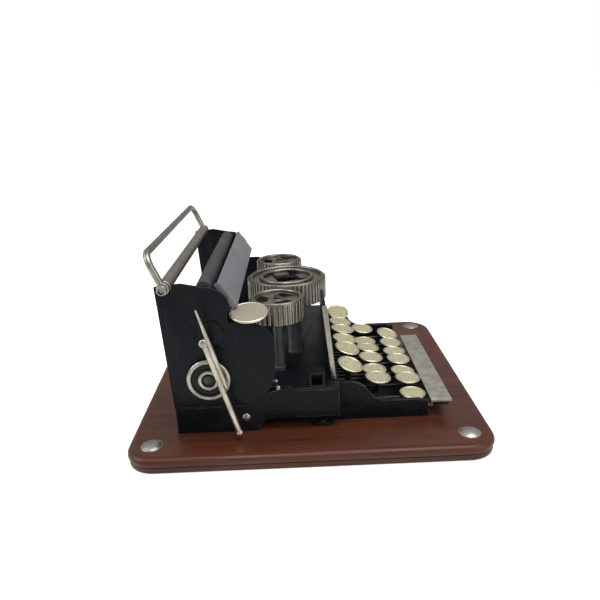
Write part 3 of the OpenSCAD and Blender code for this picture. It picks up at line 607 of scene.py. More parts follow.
dark_steel, tree, shader = bare_material("dark_steel", Metallic=0.9)
age = use_group(tree, age_group, {"Cloud Scale": 120.0, "Speck Scale": 1300.0})
shade_and_dirt_depth = use_group(tree, shade_and_dirt_group, {"Reach": 0.003, "Low": 0.35, "High": 0.9})["Depth"]
steel = tint(tree, age["Cloud"], colour(0.085, 0.082, 0.077), colour(0.040, 0.038, 0.035))
steel = tint(tree, age["Speck"], steel, colour(0.07, 0.042, 0.025))
# Painted shade: corners and recesses are darkened towards near black
tree.links.new(
    tint(tree, calc(tree, "MULTIPLY", shade_and_dirt_depth, 0.8), steel, colour(0.02, 0.02, 0.02)), shader["Base Color"]
)
tree.links.new(spread(tree, age["Cloud"], 0.0, 1.0, 0.36, 0.55), shader["Roughness"])
relief(tree, shader, age["Speck"], 0.00003)


def bar_part(node, radius, chamfer=0.4, x0=None, x1=None, sides=48):
    """A turned bar along X through the middle of a CAD node, its ends chamfered."""
    low, high = (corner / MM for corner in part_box(node))
    x0 = low.x if x0 is None else x0
    x1 = high.x if x1 is None else x1
    run = [(0.0, 0.0), (radius - chamfer, 0.0), (radius, chamfer), (radius, x1 - x0 - chamfer)]
    run += [(radius - chamfer, x1 - x0), (0.0, x1 - x0)]
    return moved(turned(run, sides), facing("+X", x0, (low.y + high.y) / 2, (low.z + high.z) / 2))


make_piece("tie_bar", [bar_part("tie_rod", 3.0)], dark_steel, "frame", ["tie_rod"])

# ---- Cheeks and front panel ----
# Two cheeks of thick sheet, cut in humps, stand on the frame's lugs. The front panel is a sheet with
# a scooped top edge and bright nickel strips down its sides, all in the frame's enamel.
softened("left_cheek", enamel, 0.55)
softened("right_cheek", enamel, 0.55)
softened("front_panel", enamel, 0.5)
softened("panel_trim", nickel, 0.5)

# ---- Cross rod, bail and nuts ----
# A satin nickel rod lies in the cheeks' saddles. The bail, one bent wire with an eye at each end,
# swings on the rod's thin ends and is kept on by round nuts.


def swept(path, radii, sides=24):
    """A round wire along a path of places, with a radius at each. Both ends are closed."""
    path = [Vector(p) for p in path]
    points, faces, side_way = [], [], None
    for k, spot in enumerate(path):
        ahead = (path[min(k + 1, len(path) - 1)] - path[max(k - 1, 0)]).normalized()
        if side_way is None:
            side_way = ahead.orthogonal().normalized()
        side_way = (side_way - ahead * side_way.dot(ahead)).normalized()
        up_way = ahead.cross(side_way)
        for n in range(sides):
            swing = 2 * math.pi * n / sides
            points.append(tuple(spot + radii[k] * (math.cos(swing) * side_way + math.sin(swing) * up_way)))
    for k in range(len(path) - 1):
        for n in range(sides):
            along = (n + 1) % sides
            faces.append([k * sides + n, k * sides + along, (k + 1) * sides + along, (k + 1) * sides + n])
    last = (len(path) - 1) * sides
    faces += [list(range(sides))[::-1], [last + n for n in range(sides)]]
    return points, faces


def straight(start, stop, steps=8):
    start, stop = Vector(start), Vector(stop)
    return [start.lerp(stop, k / steps) for k in range(steps + 1)]


rod_nickel = nickel_finish("rod_nickel", (0.42, 0.38, 0.315), (0.30, 0.265, 0.215), (0.12, 0.10, 0.075), 0.36)
ROD_R = 4.0
JOURNAL_R = 2.0
rod_low, rod_high = (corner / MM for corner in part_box("rear_rod"))
ROD_Y = (rod_low.y + rod_high.y) / 2
ROD_Z = (rod_low.z + rod_high.z) / 2
BAIL_X = 91.0
BAIL_WIRE = 2.25
ROD_HALF = BAIL_X - BAIL_WIRE - 0.3
rod_run = [
    (0.0, rod_low.x), (JOURNAL_R - 0.4, rod_low.x), (JOURNAL_R, rod_low.x + 0.4), (JOURNAL_R, -ROD_HALF)
]
rod_run += [(ROD_R - 0.5, -ROD_HALF), (ROD_R, -ROD_HALF + 0.5)]
rod_run += [(ROD_R, ROD_HALF - 0.5), (ROD_R - 0.5, ROD_HALF), (JOURNAL_R, ROD_HALF)]
rod_run += [(JOURNAL_R, rod_high.x - 0.4), (JOURNAL_R - 0.4, rod_high.x), (0.0, rod_high.x)]
rod_part = moved(turned(rod_run), facing("+X", 0, ROD_Y, ROD_Z))
make_piece("cross_rod", [rod_part], rod_nickel, "frame", ["rear_rod"])

BAIL_RISE = 22.8
BAIL_BEND = 9.0
BAIL_LEAN = 23.0
EYE_R = 4.0
bail_path = straight((-BAIL_X, 0, 3.0), (-BAIL_X, 0, BAIL_RISE - BAIL_BEND), 6)[:-1]
for step in range(13):
    swing = math.radians(180 - 7.5 * step)
    bail_path.append(
        (
            BAIL_BEND - BAIL_X + BAIL_BEND * math.cos(swing), 0,
            BAIL_RISE - BAIL_BEND + BAIL_BEND * math.sin(swing)
        )
    )
bail_path = [Vector(p) for p in bail_path]
bail_path += [Vector((-p.x, 0, p.z)) for p in reversed(bail_path)]
leaning = Matrix.Translation((0, ROD_Y, ROD_Z)) @ Matrix.Rotation(math.radians(-BAIL_LEAN), 4, "X")
bail_nickel = nickel_finish(
    "bail_nickel", (0.40, 0.38, 0.335), (0.25, 0.235, 0.20), (0.08, 0.07, 0.055), 0.26
)
bail_bar = moved(swept(bail_path, [BAIL_WIRE] * len(bail_path)), leaning)
eye_run = arc(EYE_R - 0.7, 1.3, 0.7, 0, 90, 4) + arc(JOURNAL_R + 0.6, 1.45, 0.55, 90, 180, 4)
eye_run += [(r, -z) for r, z in reversed(eye_run)]
eyes = [moved(turned(eye_run, 40, True), leaning @ facing("+X", x, 0, 0)) for x in (-BAIL_X, BAIL_X)]
make_piece("bail_wire", [bail_bar] + eyes, bail_nickel, "bail", ["bail"])

nut_run = [
    (2.02, 0.0), (2.8, 0.0), (3.1, 0.3), (3.1, 2.6), (2.8, 3.0), (2.3, 3.05), (2.3, 4.0), (2.2, 4.2),
    (2.02, 4.2)
]
nut_x = BAIL_X + 2.3
nut_parts = [
    moved(turned(nut_run, 40, True), facing(way, side * nut_x, ROD_Y, ROD_Z)) for way,
    side in (("-X", -1), ("+X", 1))
]
make_piece("bail_end_nuts", nut_parts, stud_nickel, "frame", ["bail_nuts"])

# ---- Roller, its shaft and brackets, and the paper plate ----
# A matt grey rubber roller is glued on a steel shaft that turns in small enamelled blocks inside the
# cheeks. Before it lies a sloping plate of grey-painted sheet, its ends folded under.
rubber, tree, shader = bare_material("roller_rubber", Specular_IOR_Level=0.3)
place = object_place(tree)
age = use_group(tree, age_group, {"Cloud Scale": 70.0, "Speck Scale": 1600.0})
worn = tint(tree, age["Cloud"], colour(0.042, 0.043, 0.045), colour(0.072, 0.072, 0.071))
tree.links.new(
    tint(tree, calc(tree, "MULTIPLY", age["Speck"], 0.5), worn, colour(0.13, 0.125, 0.115)),
    shader["Base Color"]
)
tree.links.new(spread(tree, age["Cloud"], 0.0, 1.0, 0.62, 0.82), shader["Roughness"])
relief(tree, shader, noise(tree, place, 1300.0, 3.0, 0.6), 0.00005)

PLATEN_HALF = 77.0
make_piece(
    "roller", [bar_part("platen", 5.0, 0.6, -PLATEN_HALF, PLATEN_HALF, 72)], rubber, "platen",
    ["platen"]
)
make_piece(
    "roller_shaft", [bar_part("platen_shaft", 1.5, 0.3)], dark_steel, "platen",
    ["platen_shaft"]
)
softened("carriage_brackets", enamel, 0.45)

grey_paint, tree, shader = bare_material("grey_paint", Specular_IOR_Level=0.35)
place = object_place(tree)
age = use_group(tree, age_group, {"Cloud Scale": 55.0, "Speck Scale": 1300.0})
edge = use_group(tree, edge_group, {"Width": 0.0006, "Low": 0.02, "High": 0.25})["Edge"]
mark = use_group(tree, rub_group, {"Scale": 600.0, "Low": 0.6, "High": 0.8})["Mark"]
paint = tint(tree, age["Cloud"], colour(0.150, 0.158, 0.168), colour(0.205, 0.213, 0.222))
paint = tint(tree, calc(tree, "MULTIPLY", age["Speck"], 0.5), paint, colour(0.12, 0.12, 0.12))
paint = tint(tree, calc(tree, "MULTIPLY", mark, 0.25), paint, colour(0.42, 0.42, 0.41))
tree.links.new(
    tint(tree, calc(tree, "MULTIPLY", edge, 0.7), paint, colour(0.55, 0.54, 0.51)), shader["Base Color"]
)
tree.links.new(spread(tree, age["Cloud"], 0.0, 1.0, 0.46, 0.6), shader["Roughness"])
relief(tree, shader, noise(tree, place, 900.0, 3.0, 0.55), 0.00004)
softened("paper_plate", grey_paint, 0.45)

# ---- Ribbed drums and their posts ----
# The large ring and the two spools are die-cast, plated a warm nickel and left to darken. Their
# walls are fluted with close ribs under a rolled rim. Posts carry them over the deck.
DRUM_TOP = BOARD_TOP + 84.0
RING_Y = 12.5
SPOOL_Y = 19.0
SPOOL_X = 52.0
RIB_PITCH = 3.1
RIB_STAND = 0.9

rib_tree = bpy.data.node_groups.new("drum_ribs", "GeometryNodeTree")
for socket, kind in (
    ("Count", "Int"), ("Radius", "Float"), ("Rib", "Float"), ("Low", "Float"), ("High", "Float")
):
    rib_tree.interface.new_socket(name=socket, in_out="INPUT", socket_type="NodeSocket" + kind)
rib_tree.interface.new_socket(name="Centre", in_out="INPUT", socket_type="NodeSocketVector")
rib_tree.interface.new_socket(name="Finish", in_out="INPUT", socket_type="NodeSocketMaterial")
rib_tree.interface.new_socket(name="Ribs", in_out="OUTPUT", socket_type="NodeSocketGeometry")
given = rib_tree.nodes.new("NodeGroupInput").outputs
foot = put(rib_tree, "ShaderNodeCombineXYZ", {"Z": given["Low"]}).outputs[0]
crown = put(rib_tree, "ShaderNodeCombineXYZ", {"Z": given["High"]}).outputs[0]
spine = put(rib_tree, "GeometryNodeCurvePrimitiveLine", {"Start": foot, "End": crown})
section = put(rib_tree, "GeometryNodeCurvePrimitiveCircle", {"Resolution": 12, "Radius": given["Rib"]})
stick = put(
    rib_tree, "GeometryNodeCurveToMesh", {"Curve": spine.outputs[0], "Profile Curve": section.outputs[0]}
)
stick.inputs["Fill Caps"].default_value = True
knob = put(rib_tree, "GeometryNodeMeshUVSphere", {"Segments": 12, "Rings": 8, "Radius": given["Rib"]})
low_knob = put(rib_tree, "GeometryNodeTransform", {"Geometry": knob.outputs[0], "Translation": foot})
one_rib = put(rib_tree, "GeometryNodeJoinGeometry")
rib_tree.links.new(stick.outputs[0], one_rib.inputs[0])
rib_tree.links.new(low_knob.outputs[0], one_rib.inputs[0])
round_wall = put(rib_tree, "GeometryNodeMeshCircle", {"Vertices": given["Count"], "Radius": given["Radius"]})
copies = put(
    rib_tree, "GeometryNodeInstanceOnPoints",
    {"Points": round_wall.outputs[0], "Instance": one_rib.outputs[0]}
)
solid = put(rib_tree, "GeometryNodeRealizeInstances", {0: copies.outputs[0]})
there = put(rib_tree, "GeometryNodeTransform", {"Geometry": solid.outputs[0], "Translation": given["Centre"]})
painted = put(
    rib_tree, "GeometryNodeSetMaterial", {"Geometry": there.outputs[0], "Material": given["Finish"]}
)
put(rib_tree, "NodeGroupOutput", {0: painted.outputs[0]})


def run_tree(tree, values):
    """The mesh that a Geometry Nodes tree makes from named values."""
    carrier = loose_object("carrier", bpy.data.meshes.new("carrier"))
    setting = carrier.modifiers.new("make", "NODES")
    setting.node_group = tree
    names = sockets_of(tree)
    for socket, value in values.items():
        setting[names[socket]] = value
    return evaluated(carrier)


# The drums use a wider recess mask, so the gaps between their ribs are darkened: painted shade as well as
# tarnish
drum_nickel = nickel_finish(
    "drum_nickel", (0.34, 0.31, 0.265), (0.205, 0.185, 0.155), (0.055, 0.047, 0.038), 0.28, 0.0030, 0.15
)


def wall_run(radius, depth, bead):
    """A drum's wall: thin and straight, its rim rolled over in a bead."""
    mid = radius - bead / 2
    wall = radius + RIB_STAND
    run = [(radius - 2.0, -depth + 0.3), (radius - 1.7, -depth), (wall - 0.3, -depth), (wall, -depth + 0.3)]
    run += [
        (wall, -bead - 0.3), (wall - 0.2, -bead)
    ] + arc(mid, -bead, bead, 4, 180, 18) + [(radius - 2.0, -1.6 * bead)]
    return run


def rib_mesh(radius, depth, bead, x, y):
    rib = 0.85
    values = {
        "Count": round(2 * math.pi * radius / RIB_PITCH), "Radius": (radius + RIB_STAND) * MM,
        "Rib": rib * MM
    }
    values.update({"Low": (rib - depth) * MM, "High": (-bead) * MM, "Finish": drum_nickel})
    values["Centre"] = (x * MM, y * MM, DRUM_TOP * MM)
    return run_tree(rib_tree, values)


def sector(inner, outer, start, stop, low, high, steps=14):
    """A flat piece of a ring between two radii and two angles, with a thickness."""
    points, faces = [], []
    for k in range(steps + 1):
        swing = math.radians(start + (stop - start) * k / steps)
        for radius, height in ((inner, low), (outer, low), (outer, high), (inner, high)):
            points.append((radius * math.cos(swing), radius * math.sin(swing), height))
    for k in range(steps):
        for n in range(4):
            along = (n + 1) % 4
            faces.append([4 * k + n, 4 * k + along, 4 * k + 4 + along, 4 * k + 4 + n])
    return points, faces + [[3, 2, 1, 0], [4 * steps + n for n in range(4)]]


RING_R = 28.0
RING_DEPTH = 17.6
INNER_R = 19.0
ring_place = Matrix.Translation((0, RING_Y, DRUM_TOP))
ring_parts = [moved(turned(wall_run(RING_R, RING_DEPTH, 1.3), 128, True), ring_place)]
floor_run = [
    (INNER_R - 1.2, -4.0), (RING_R - 1.4, -4.0), (RING_R - 1.4, -2.5), (RING_R - 2.2, -2.4),
    (INNER_R + 1.4, -2.4)
]
floor_run += arc(INNER_R, -1.4, 1.4, -20, 200, 20) + [(INNER_R - 1.2, -2.6)]
ring_parts.append(moved(turned(floor_run, 128, True), ring_place))
for quarter in range(4):
    tab = box_part((9, -5.5, -4.0), (INNER_R, 5.5, -2.4))
    ring_parts.append(moved(tab, ring_place @ Matrix.Rotation(math.radians(90 * quarter + 20), 4, "Z")))
make_piece("large_ring", ring_parts, drum_nickel, "frame", ["type_ring"])
settle(rib_mesh(RING_R, RING_DEPTH, 1.3, 0, RING_Y), "large_ring_ribs", drum_nickel, "frame")

core_run = [
    (0.0, 0.0), (12.0, 0.0), (12.5, 0.5), (12.5, 7.4), (12.0, 8.0), (9.6, 8.0), (9.1, 7.5), (9.0, 2.4),
    (8.6, 2.0), (0.0, 2.0)
]
core_part = moved(turned(core_run, 72), Matrix.Translation((0, RING_Y, DRUM_TOP - 12)))
make_piece("large_ring_core", [core_part], enamel, "frame", ["ring_core"])

post_grey, tree, shader = bare_material("post_grey", Specular_IOR_Level=0.4)
age = use_group(tree, age_group, {"Cloud Scale": 80.0, "Speck Scale": 1200.0})
edge = use_group(tree, edge_group, {"Width": 0.0006, "Low": 0.02, "High": 0.25})["Edge"]
post = tint(tree, age["Cloud"], colour(0.055, 0.060, 0.066), colour(0.085, 0.090, 0.095))
post = tint(tree, calc(tree, "MULTIPLY", edge, 0.6), post, colour(0.33, 0.31, 0.28))
tree.links.new(
    tint(tree, calc(tree, "MULTIPLY", age["Speck"], 0.4), post, colour(0.02, 0.02, 0.02)),
    shader["Base Color"]
)
tree.links.new(spread(tree, age["Cloud"], 0.0, 1.0, 0.32, 0.5), shader["Roughness"])
DECK_TOP = BOARD_TOP + DECK_H
post_h = DRUM_TOP - RING_DEPTH - DECK_TOP
post_run = [
    (0.0, -2.5), (1.2, -2.5), (1.5, -2.2), (1.5, 0.0), (5.5, 0.0), (5.5, 1.6), (5.2, 2.0), (4.9, 2.4),
    (4.9, post_h - 3.0)
]
post_run += [(5.2, post_h - 2.5), (5.5, post_h - 2.1), (5.5, post_h), (0.0, post_h)]
post_parts = [moved(turned(post_run, 48), Matrix.Translation((x, 8, DECK_TOP))) for x in (-22, 22)]
make_piece("large_ring_posts", post_parts, post_grey, "frame", ["ring_posts"])

SPOOL_R = 17.2
SPOOL_DEPTH = 15.5
hub_run = [
    (1.56, -8.0), (3.6, -8.0), (4.0, -7.6), (4.0, -3.6), (6.0, -3.6), (6.0, -2.3), (5.8, -2.2),
    (4.4, -2.2)
]
hub_run += [(4.0, -2.0), (4.0, -1.7), (3.8, -1.5), (1.56, -1.5)]
rim_run = [
    (SPOOL_R - 3.0, -3.6), (SPOOL_R - 1.6, -3.6), (SPOOL_R - 1.6, -2.2), (SPOOL_R - 2.9, -2.2),
    (SPOOL_R - 3.0, -2.3)
]
for side, name in ((-1, "left_spool"), (1, "right_spool")):
    spool_place = Matrix.Translation((side * SPOOL_X, SPOOL_Y, DRUM_TOP))
    spool_parts = [turned(wall_run(SPOOL_R, SPOOL_DEPTH, 1.3), 112, True), turned(hub_run, 64, True)]
    spool_parts.append(turned(rim_run, 112, True))
    spool_parts += [sector(5.9, SPOOL_R - 2.9, 120 * q + 5, 120 * q + 55, -3.6, -2.2) for q in range(3)]
    spool_parts = [moved(part, spool_place) for part in spool_parts]
    make_piece(name + "_drum", spool_parts, drum_nickel, name, [name])
    ribs = rib_mesh(SPOOL_R, SPOOL_DEPTH, 1.3, side * SPOOL_X, SPOOL_Y)
    settle(ribs, name + "_ribs", drum_nickel, name)

spool_post_h = DRUM_TOP - 8.3 - DECK_TOP
spindle_h = DRUM_TOP + 1.5 - DECK_TOP
collar_h = DRUM_TOP - 1.2 - DECK_TOP
stand_run = [
    (0.0, -2.5), (1.2, -2.5), (1.5, -2.2), (1.5, 0.0), (4.0, 0.0), (4.0, 2.2), (3.5, 2.8),
    (3.5, spool_post_h - 2.4)
]
stand_run += [
    (4.0, spool_post_h - 1.8), (4.0, spool_post_h - 0.3), (3.7, spool_post_h), (1.5, spool_post_h),
    (1.5, collar_h)
]
stand_run += [
    (2.3, collar_h), (2.5, collar_h + 0.2), (2.5, collar_h + 0.8), (2.3, collar_h + 1.0),
    (1.5, collar_h + 1.0)
]
stand_run += [(1.5, spindle_h - 0.4), (1.1, spindle_h), (0.0, spindle_h)]
stands = [
    moved(turned(stand_run, 48), Matrix.Translation((x, SPOOL_Y, DECK_TOP))) for x in (-SPOOL_X, SPOOL_X)
]
make_piece("spool_stands", stands, post_grey, "frame", ["spool_posts"])

# ---- Round key, wheel and return lever on the left ----
# A large enamelled key slides in a guide fixed to the cheek. Below it a stepped nickel wheel turns
# on its spindle, and a lever of two bright rods swings on a pin in a dark riveted boss.
def cream_finish(name, shade, greyness):
    """Mottled cream enamel: blotted, yellowed and freckled, darkened by shade and greyed with wear."""
    made, tree, shader = bare_material(name, Specular_IOR_Level=0.45)
    place = object_place(tree)
    blots = spread(tree, noise(tree, place, 330.0, 5.0, 0.65), 0.40, 0.62)
    freckles = spread(tree, noise(tree, place, 850.0, 4.0, 0.7, turn=(0.4, 0.2, 0.9)), 0.56, 0.68)
    yellowing = spread(tree, noise(tree, place, 520.0, 4.0, 0.6, turn=(1.1, 0.5, 0.2)), 0.48, 0.66)
    age = use_group(tree, age_group, {"Cloud Scale": 140.0, "Speck Scale": 1900.0})
    shade_and_dirt_depth = use_group(tree, shade_and_dirt_group, {"Reach": 0.0015, "Low": 0.3, "High": 0.9})["Depth"]
    top = tint(tree, blots, colour(0.58, 0.55, 0.38), colour(0.46, 0.42, 0.265))
    top = tint(tree, calc(tree, "MULTIPLY", yellowing, 0.75), top, colour(0.52, 0.41, 0.150))
    top = tint(tree, calc(tree, "MULTIPLY", freckles, 0.7), top, colour(0.33, 0.20, 0.135))
    top = tint(tree, calc(tree, "MULTIPLY", age["Speck"], 0.35), top, colour(0.78, 0.76, 0.66))
    top = tint(tree, greyness, top, colour(0.42, 0.38, 0.31))
    top = tint(tree, shade, top, colour(0.0, 0.0, 0.0))
    # Recesses darken towards a grime brown: painted shade with some grime
    tree.links.new(
        tint(tree, calc(tree, "MULTIPLY", shade_and_dirt_depth, 0.7), top, colour(0.16, 0.12, 0.07)), shader["Base Color"]
    )
    tree.links.new(spread(tree, blots, 0.0, 1.0, 0.34, 0.52), shader["Roughness"])
    relief(tree, shader, calc(tree, "SUBTRACT", blots, freckles), 0.00009)
    return made


cream = cream_finish("cream_enamel", 0.08, 0.0)
worn_cream = cream_finish("worn_cream_enamel", 0.25, 0.75)

cream_rim = nickel_finish("key_rim_nickel", (0.78, 0.74, 0.60), (0.60, 0.55, 0.41), (0.28, 0.22, 0.14), 0.30)


def key_top_parts(radius, thick):
    """The enamel disc, a little crowned, and the rolled metal rim that holds it."""
    rim = 0.9
    inner = radius - 2 * rim
    disc = [(0.0, 0.0), (radius - rim, 0.0), (radius - rim, thick - 0.45), (inner + 0.25, thick - 0.4)]
    disc += [(inner * k / 6, thick - 0.4 + 0.2 * (1 - (k / 6) ** 2)) for k in (5.5, 4.5, 3.5, 2.5, 1.5, 0.7)]
    disc.append((0.0, thick - 0.2))
    edge = arc(radius - rim, thick / 2, rim, -90, 270, 24)[:-1]
    return turned(disc, 56), turned(edge, 56, True)


SIDE_KEY_R = 12.4
GUIDE_LOW = 17.0
SIDE_KEY_AT = (-81, 36, 82)
SIDE_KEY_TILT = 12
side_key_spot = Matrix.Translation((SIDE_KEY_AT[0], SIDE_KEY_AT[1], BOARD_TOP + SIDE_KEY_AT[2]))
on_side_key = side_key_spot @ Matrix.Rotation(math.radians(-SIDE_KEY_TILT), 4, "Y")
side_disc, side_rim = key_top_parts(SIDE_KEY_R, 2.2)
stem_low = -GUIDE_LOW - 1.9
stem_run = [
    (0.0, stem_low), (2.3, stem_low), (2.6, stem_low + 0.3), (2.6, stem_low + 1.3), (2.3, stem_low + 1.6)
]
stem_run += [(1.5, stem_low + 1.6), (1.5, 0.1), (0.0, 0.1)]
make_piece(
    "round_key_disc", [moved(side_disc, on_side_key)], worn_cream, "side_key",
    ["side_key"]
)
make_piece("round_key_rim", [moved(side_rim, on_side_key)], cream_rim, "side_key")
make_piece("round_key_stem", [moved(turned(stem_run, 32), on_side_key)], nickel, "side_key")
softened("side_key_guide", enamel, 0.35)

wheel_low, wheel_high = (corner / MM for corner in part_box("side_wheel"))
WHEEL_R = (wheel_high.y - wheel_low.y) / 2
WHEEL_Y = (wheel_low.y + wheel_high.y) / 2
WHEEL_Z = (wheel_low.z + wheel_high.z) / 2
wheel_w = wheel_high.x - wheel_low.x
# The run goes out from the bore along the back, over the rim and in over the two rings in front
wheel_run = [(2.06, 0.0), (WHEEL_R - 1.2, 0.0), (WHEEL_R - 0.8, 0.3), (WHEEL_R - 0.8, 1.0)]
wheel_run += arc(WHEEL_R - 1.6, wheel_w - 1.6, 1.6, -30, 200, 18)
wheel_run += [(WHEEL_R - 3.4, wheel_w - 2.2), (7.5, wheel_w - 2.2)]
wheel_run += arc(5.6, wheel_w - 1.5, 1.5, -20, 190, 16) + [(4.2, wheel_w - 1.8), (2.06, wheel_w - 1.8)]
wheel_part = moved(turned(wheel_run, 96, True), facing("-X", wheel_high.x, WHEEL_Y, WHEEL_Z))
# Nickel shows only on the crests of the two rings, and the dished parts between them are black
wheel_finish, tree, shader = bare_material("wheel_finish", Specular_IOR_Level=0.2)
place = object_place(tree)
out_from_axle = put(tree, "ShaderNodeSeparateXYZ", {0: place}).outputs
across = calc(tree, "SUBTRACT", out_from_axle["Y"], WHEEL_Y * MM)
above = calc(tree, "SUBTRACT", out_from_axle["Z"], WHEEL_Z * MM)
reach = calc(
    tree, "SQRT",
    calc(tree, "ADD", calc(tree, "MULTIPLY", across, across), calc(tree, "MULTIPLY", above, above))
)
age = use_group(tree, age_group, {"Cloud Scale": 150.0, "Speck Scale": 1500.0})
outer_crest = spread(tree, reach, (WHEEL_R - 2.9) * MM, (WHEEL_R - 2.4) * MM)
inner_rise = spread(tree, reach, 4.6 * MM, 4.9 * MM)
inner_fall = spread(tree, reach, 6.4 * MM, 6.8 * MM, 1.0, 0.0)
plated = calc(tree, "MAXIMUM", outer_crest, calc(tree, "MULTIPLY", inner_rise, inner_fall))
plated = calc(tree, "MULTIPLY", plated, spread(tree, age["Speck"], 0.0, 1.0, 1.0, 0.5))
bright = tint(tree, age["Cloud"], colour(0.56, 0.53, 0.46), colour(0.36, 0.33, 0.28))
# Painted reflection: inside the inner ring the middle is reddish brown, the board's colour reflected there,
# turning blue-black outwards
centre = tint(
    tree, spread(tree, reach, 0.0035, 0.0055), colour(0.040, 0.026, 0.018), colour(0.010, 0.0115, 0.014)
)
tree.links.new(tint(tree, plated, centre, bright), shader["Base Color"])
tree.links.new(plated, shader["Metallic"])
tree.links.new(spread(tree, age["Cloud"], 0.0, 1.0, 0.28, 0.44), shader["Roughness"])
relief(tree, shader, age["Speck"], 0.00003)
make_piece("stepped_wheel", [wheel_part], wheel_finish, "side_wheel", ["side_wheel"])

spindle_low, spindle_high = (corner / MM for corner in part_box("wheel_spindle"))
axle_run = [(0.0, 0.0), (3.1, 0.0), (3.4, 0.3), (3.4, 1.3), (3.1, 1.6), (1.85, 1.6), (1.85, 4.3), (2.0, 4.4)]
axle_l = spindle_high.x - spindle_low.x
axle_run += [
    (2.0, axle_l - 1.0), (3.2, axle_l - 1.0), (3.4, axle_l - 0.8), (3.4, axle_l - 0.4), (2.6, axle_l),
    (0.0, axle_l)
]
axle = moved(turned(axle_run, 40), facing("-X", spindle_high.x, WHEEL_Y, WHEEL_Z))
make_piece("wheel_axle", [axle], dark_steel, "frame", ["wheel_spindle"])

LEVER_X = -94.8
LEVER_DOWN = 66.0
LEVER_LEAN = 15.8
PIVOT_AT = (64, 69)
lever_nickel = nickel_finish(
    "lever_nickel", (0.68, 0.63, 0.52), (0.46, 0.42, 0.33), (0.18, 0.145, 0.10), 0.28
)
lever_spot = Matrix.Translation((LEVER_X, PIVOT_AT[0], BOARD_TOP + PIVOT_AT[1]))
on_lever = lever_spot @ Matrix.Rotation(math.radians(-LEVER_LEAN), 4, "X")
rod_path = straight((0, 0, -LEVER_DOWN), (0, 0, 2.0), 12)
finger_path = straight(
    (0, -2.9, -33.0), (0, -2.9, -3.0), 6
) + straight((0, -2.9, -3.0), (0, -2.9, 21.0), 8)[1:]
finger_r = [0.9] + [1.5] * 6 + [1.5 - 0.1 * k for k in range(1, 8)] + [0.7]
lever_parts = [swept(rod_path, [1.9] * len(rod_path)), swept(finger_path, finger_r, 20)]
ball_run = [(0.0, -2.4)] + arc(0.0, 0.0, 2.4, -80, 80, 16) + [(0.0, 2.4)]
lever_parts.append(moved(turned(ball_run, 32), Matrix.Translation((0, 0, -LEVER_DOWN))))
finger_tip = [(0.0, -0.7)] + arc(0.0, 0.0, 0.7, -70, 70, 8) + [(0.0, 0.7)]
lever_parts.append(moved(turned(finger_tip, 20), Matrix.Translation((0, -2.9, 21))))
boss_run = [(1.56, -2.0), (2.5, -2.0), (2.8, -1.7), (2.8, 1.7), (2.5, 2.0), (1.56, 2.0)]
lever_parts.append(moved(turned(boss_run, 40, True), facing("+X", 0, 0, 0)))
lever_parts = [moved(part, on_lever) for part in lever_parts]
make_piece("return_lever_rods", lever_parts, lever_nickel, "return_lever", ["return_lever"])
softened("lever_bracket", enamel, 0.35)

pin_low, pin_high = (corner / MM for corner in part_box("lever_pin"))
pin_l = pin_high.x - pin_low.x
pin_run = [
    (0.0, 0.0), (1.35, 0.0), (1.35, 1.9), (1.5, 2.0), (1.5, pin_l - 1.4), (2.0, pin_l - 1.4),
    (2.2, pin_l - 1.2)
]
pin_run += [(2.1, pin_l - 0.5), (1.6, pin_l - 0.1), (0.9, pin_l), (0.8, pin_l - 0.4), (0.0, pin_l - 0.4)]
pin = moved(turned(pin_run, 40), facing("-X", pin_high.x, PIVOT_AT[0], BOARD_TOP + PIVOT_AT[1]))
make_piece("lever_rivet_pin", [pin], stud_nickel, "frame", ["lever_pin"])

# ---- Keys ----
# Each key is a steel lever that pivots on the long fulcrum rod, with a stem near its front end and
# a round cap of mottled cream enamel in a rolled rim. A small coil beside its hub lifts it again.
ROWS = "cab"
ROW_Y = (-73.0, -29.5, -49.5)
# Height, forward lean and sideways lean of each cap in the rows c, a and b
CAP_H = (
    (10.6, 13.3, 9.8, 11.6, 9.8, 9.8, 10.6),
    (32.1, 35.8, 34.7, 34.8, 33.2, 34.7),
    (20.2, 17.5, 19.0, 18.9, 16.4, 20.5),
)
CAP_TILT = ((3, 2, 6, 4, 2, 6, 14), (16, 14, 10, 8, 8, 6), (4, 2, 5, 6, 4, 6))
CAP_ROLL = ((0, -1, 0, -3, 0, -2, -10), (-10, -8, -2, 0, -2, -22), (-2, -1, -2, 2, 0, -4))
CAP_FIRST = (-61.4, -56.0, -54.0)
CAP_SPREAD = (3.0, 3.27, 3.03)
KEY_COUNT = 19
LEVER_FIRST = -61.4
LEVER_PITCH = 6.3
KEY_R = 9.2
FULCRUM_Y = 26.0
FULCRUM_Z = BOARD_TOP + 8.0
HUB_W = 3.0


def lever_bar(x, thick, y0, y1, z0, z1, cut=0.3):
    """A flat lever along Y with its long edges broken."""
    outline = [
        (x - thick / 2 + cut, z0), (x + thick / 2 - cut, z0), (x + thick / 2, z0 + cut),
        (x + thick / 2, z1 - cut)
    ]
    outline += [
        (x + thick / 2 - cut, z1), (x - thick / 2 + cut, z1), (x - thick / 2, z1 - cut),
        (x - thick / 2, z0 + cut)
    ]
    points = [(px, y, pz) for y in (y0, y1) for px, pz in outline]
    faces = [[k, (k + 1) % 8, 8 + (k + 1) % 8, 8 + k] for k in range(8)]
    return points, faces + [list(range(8))[::-1], [8 + k for k in range(8)]]


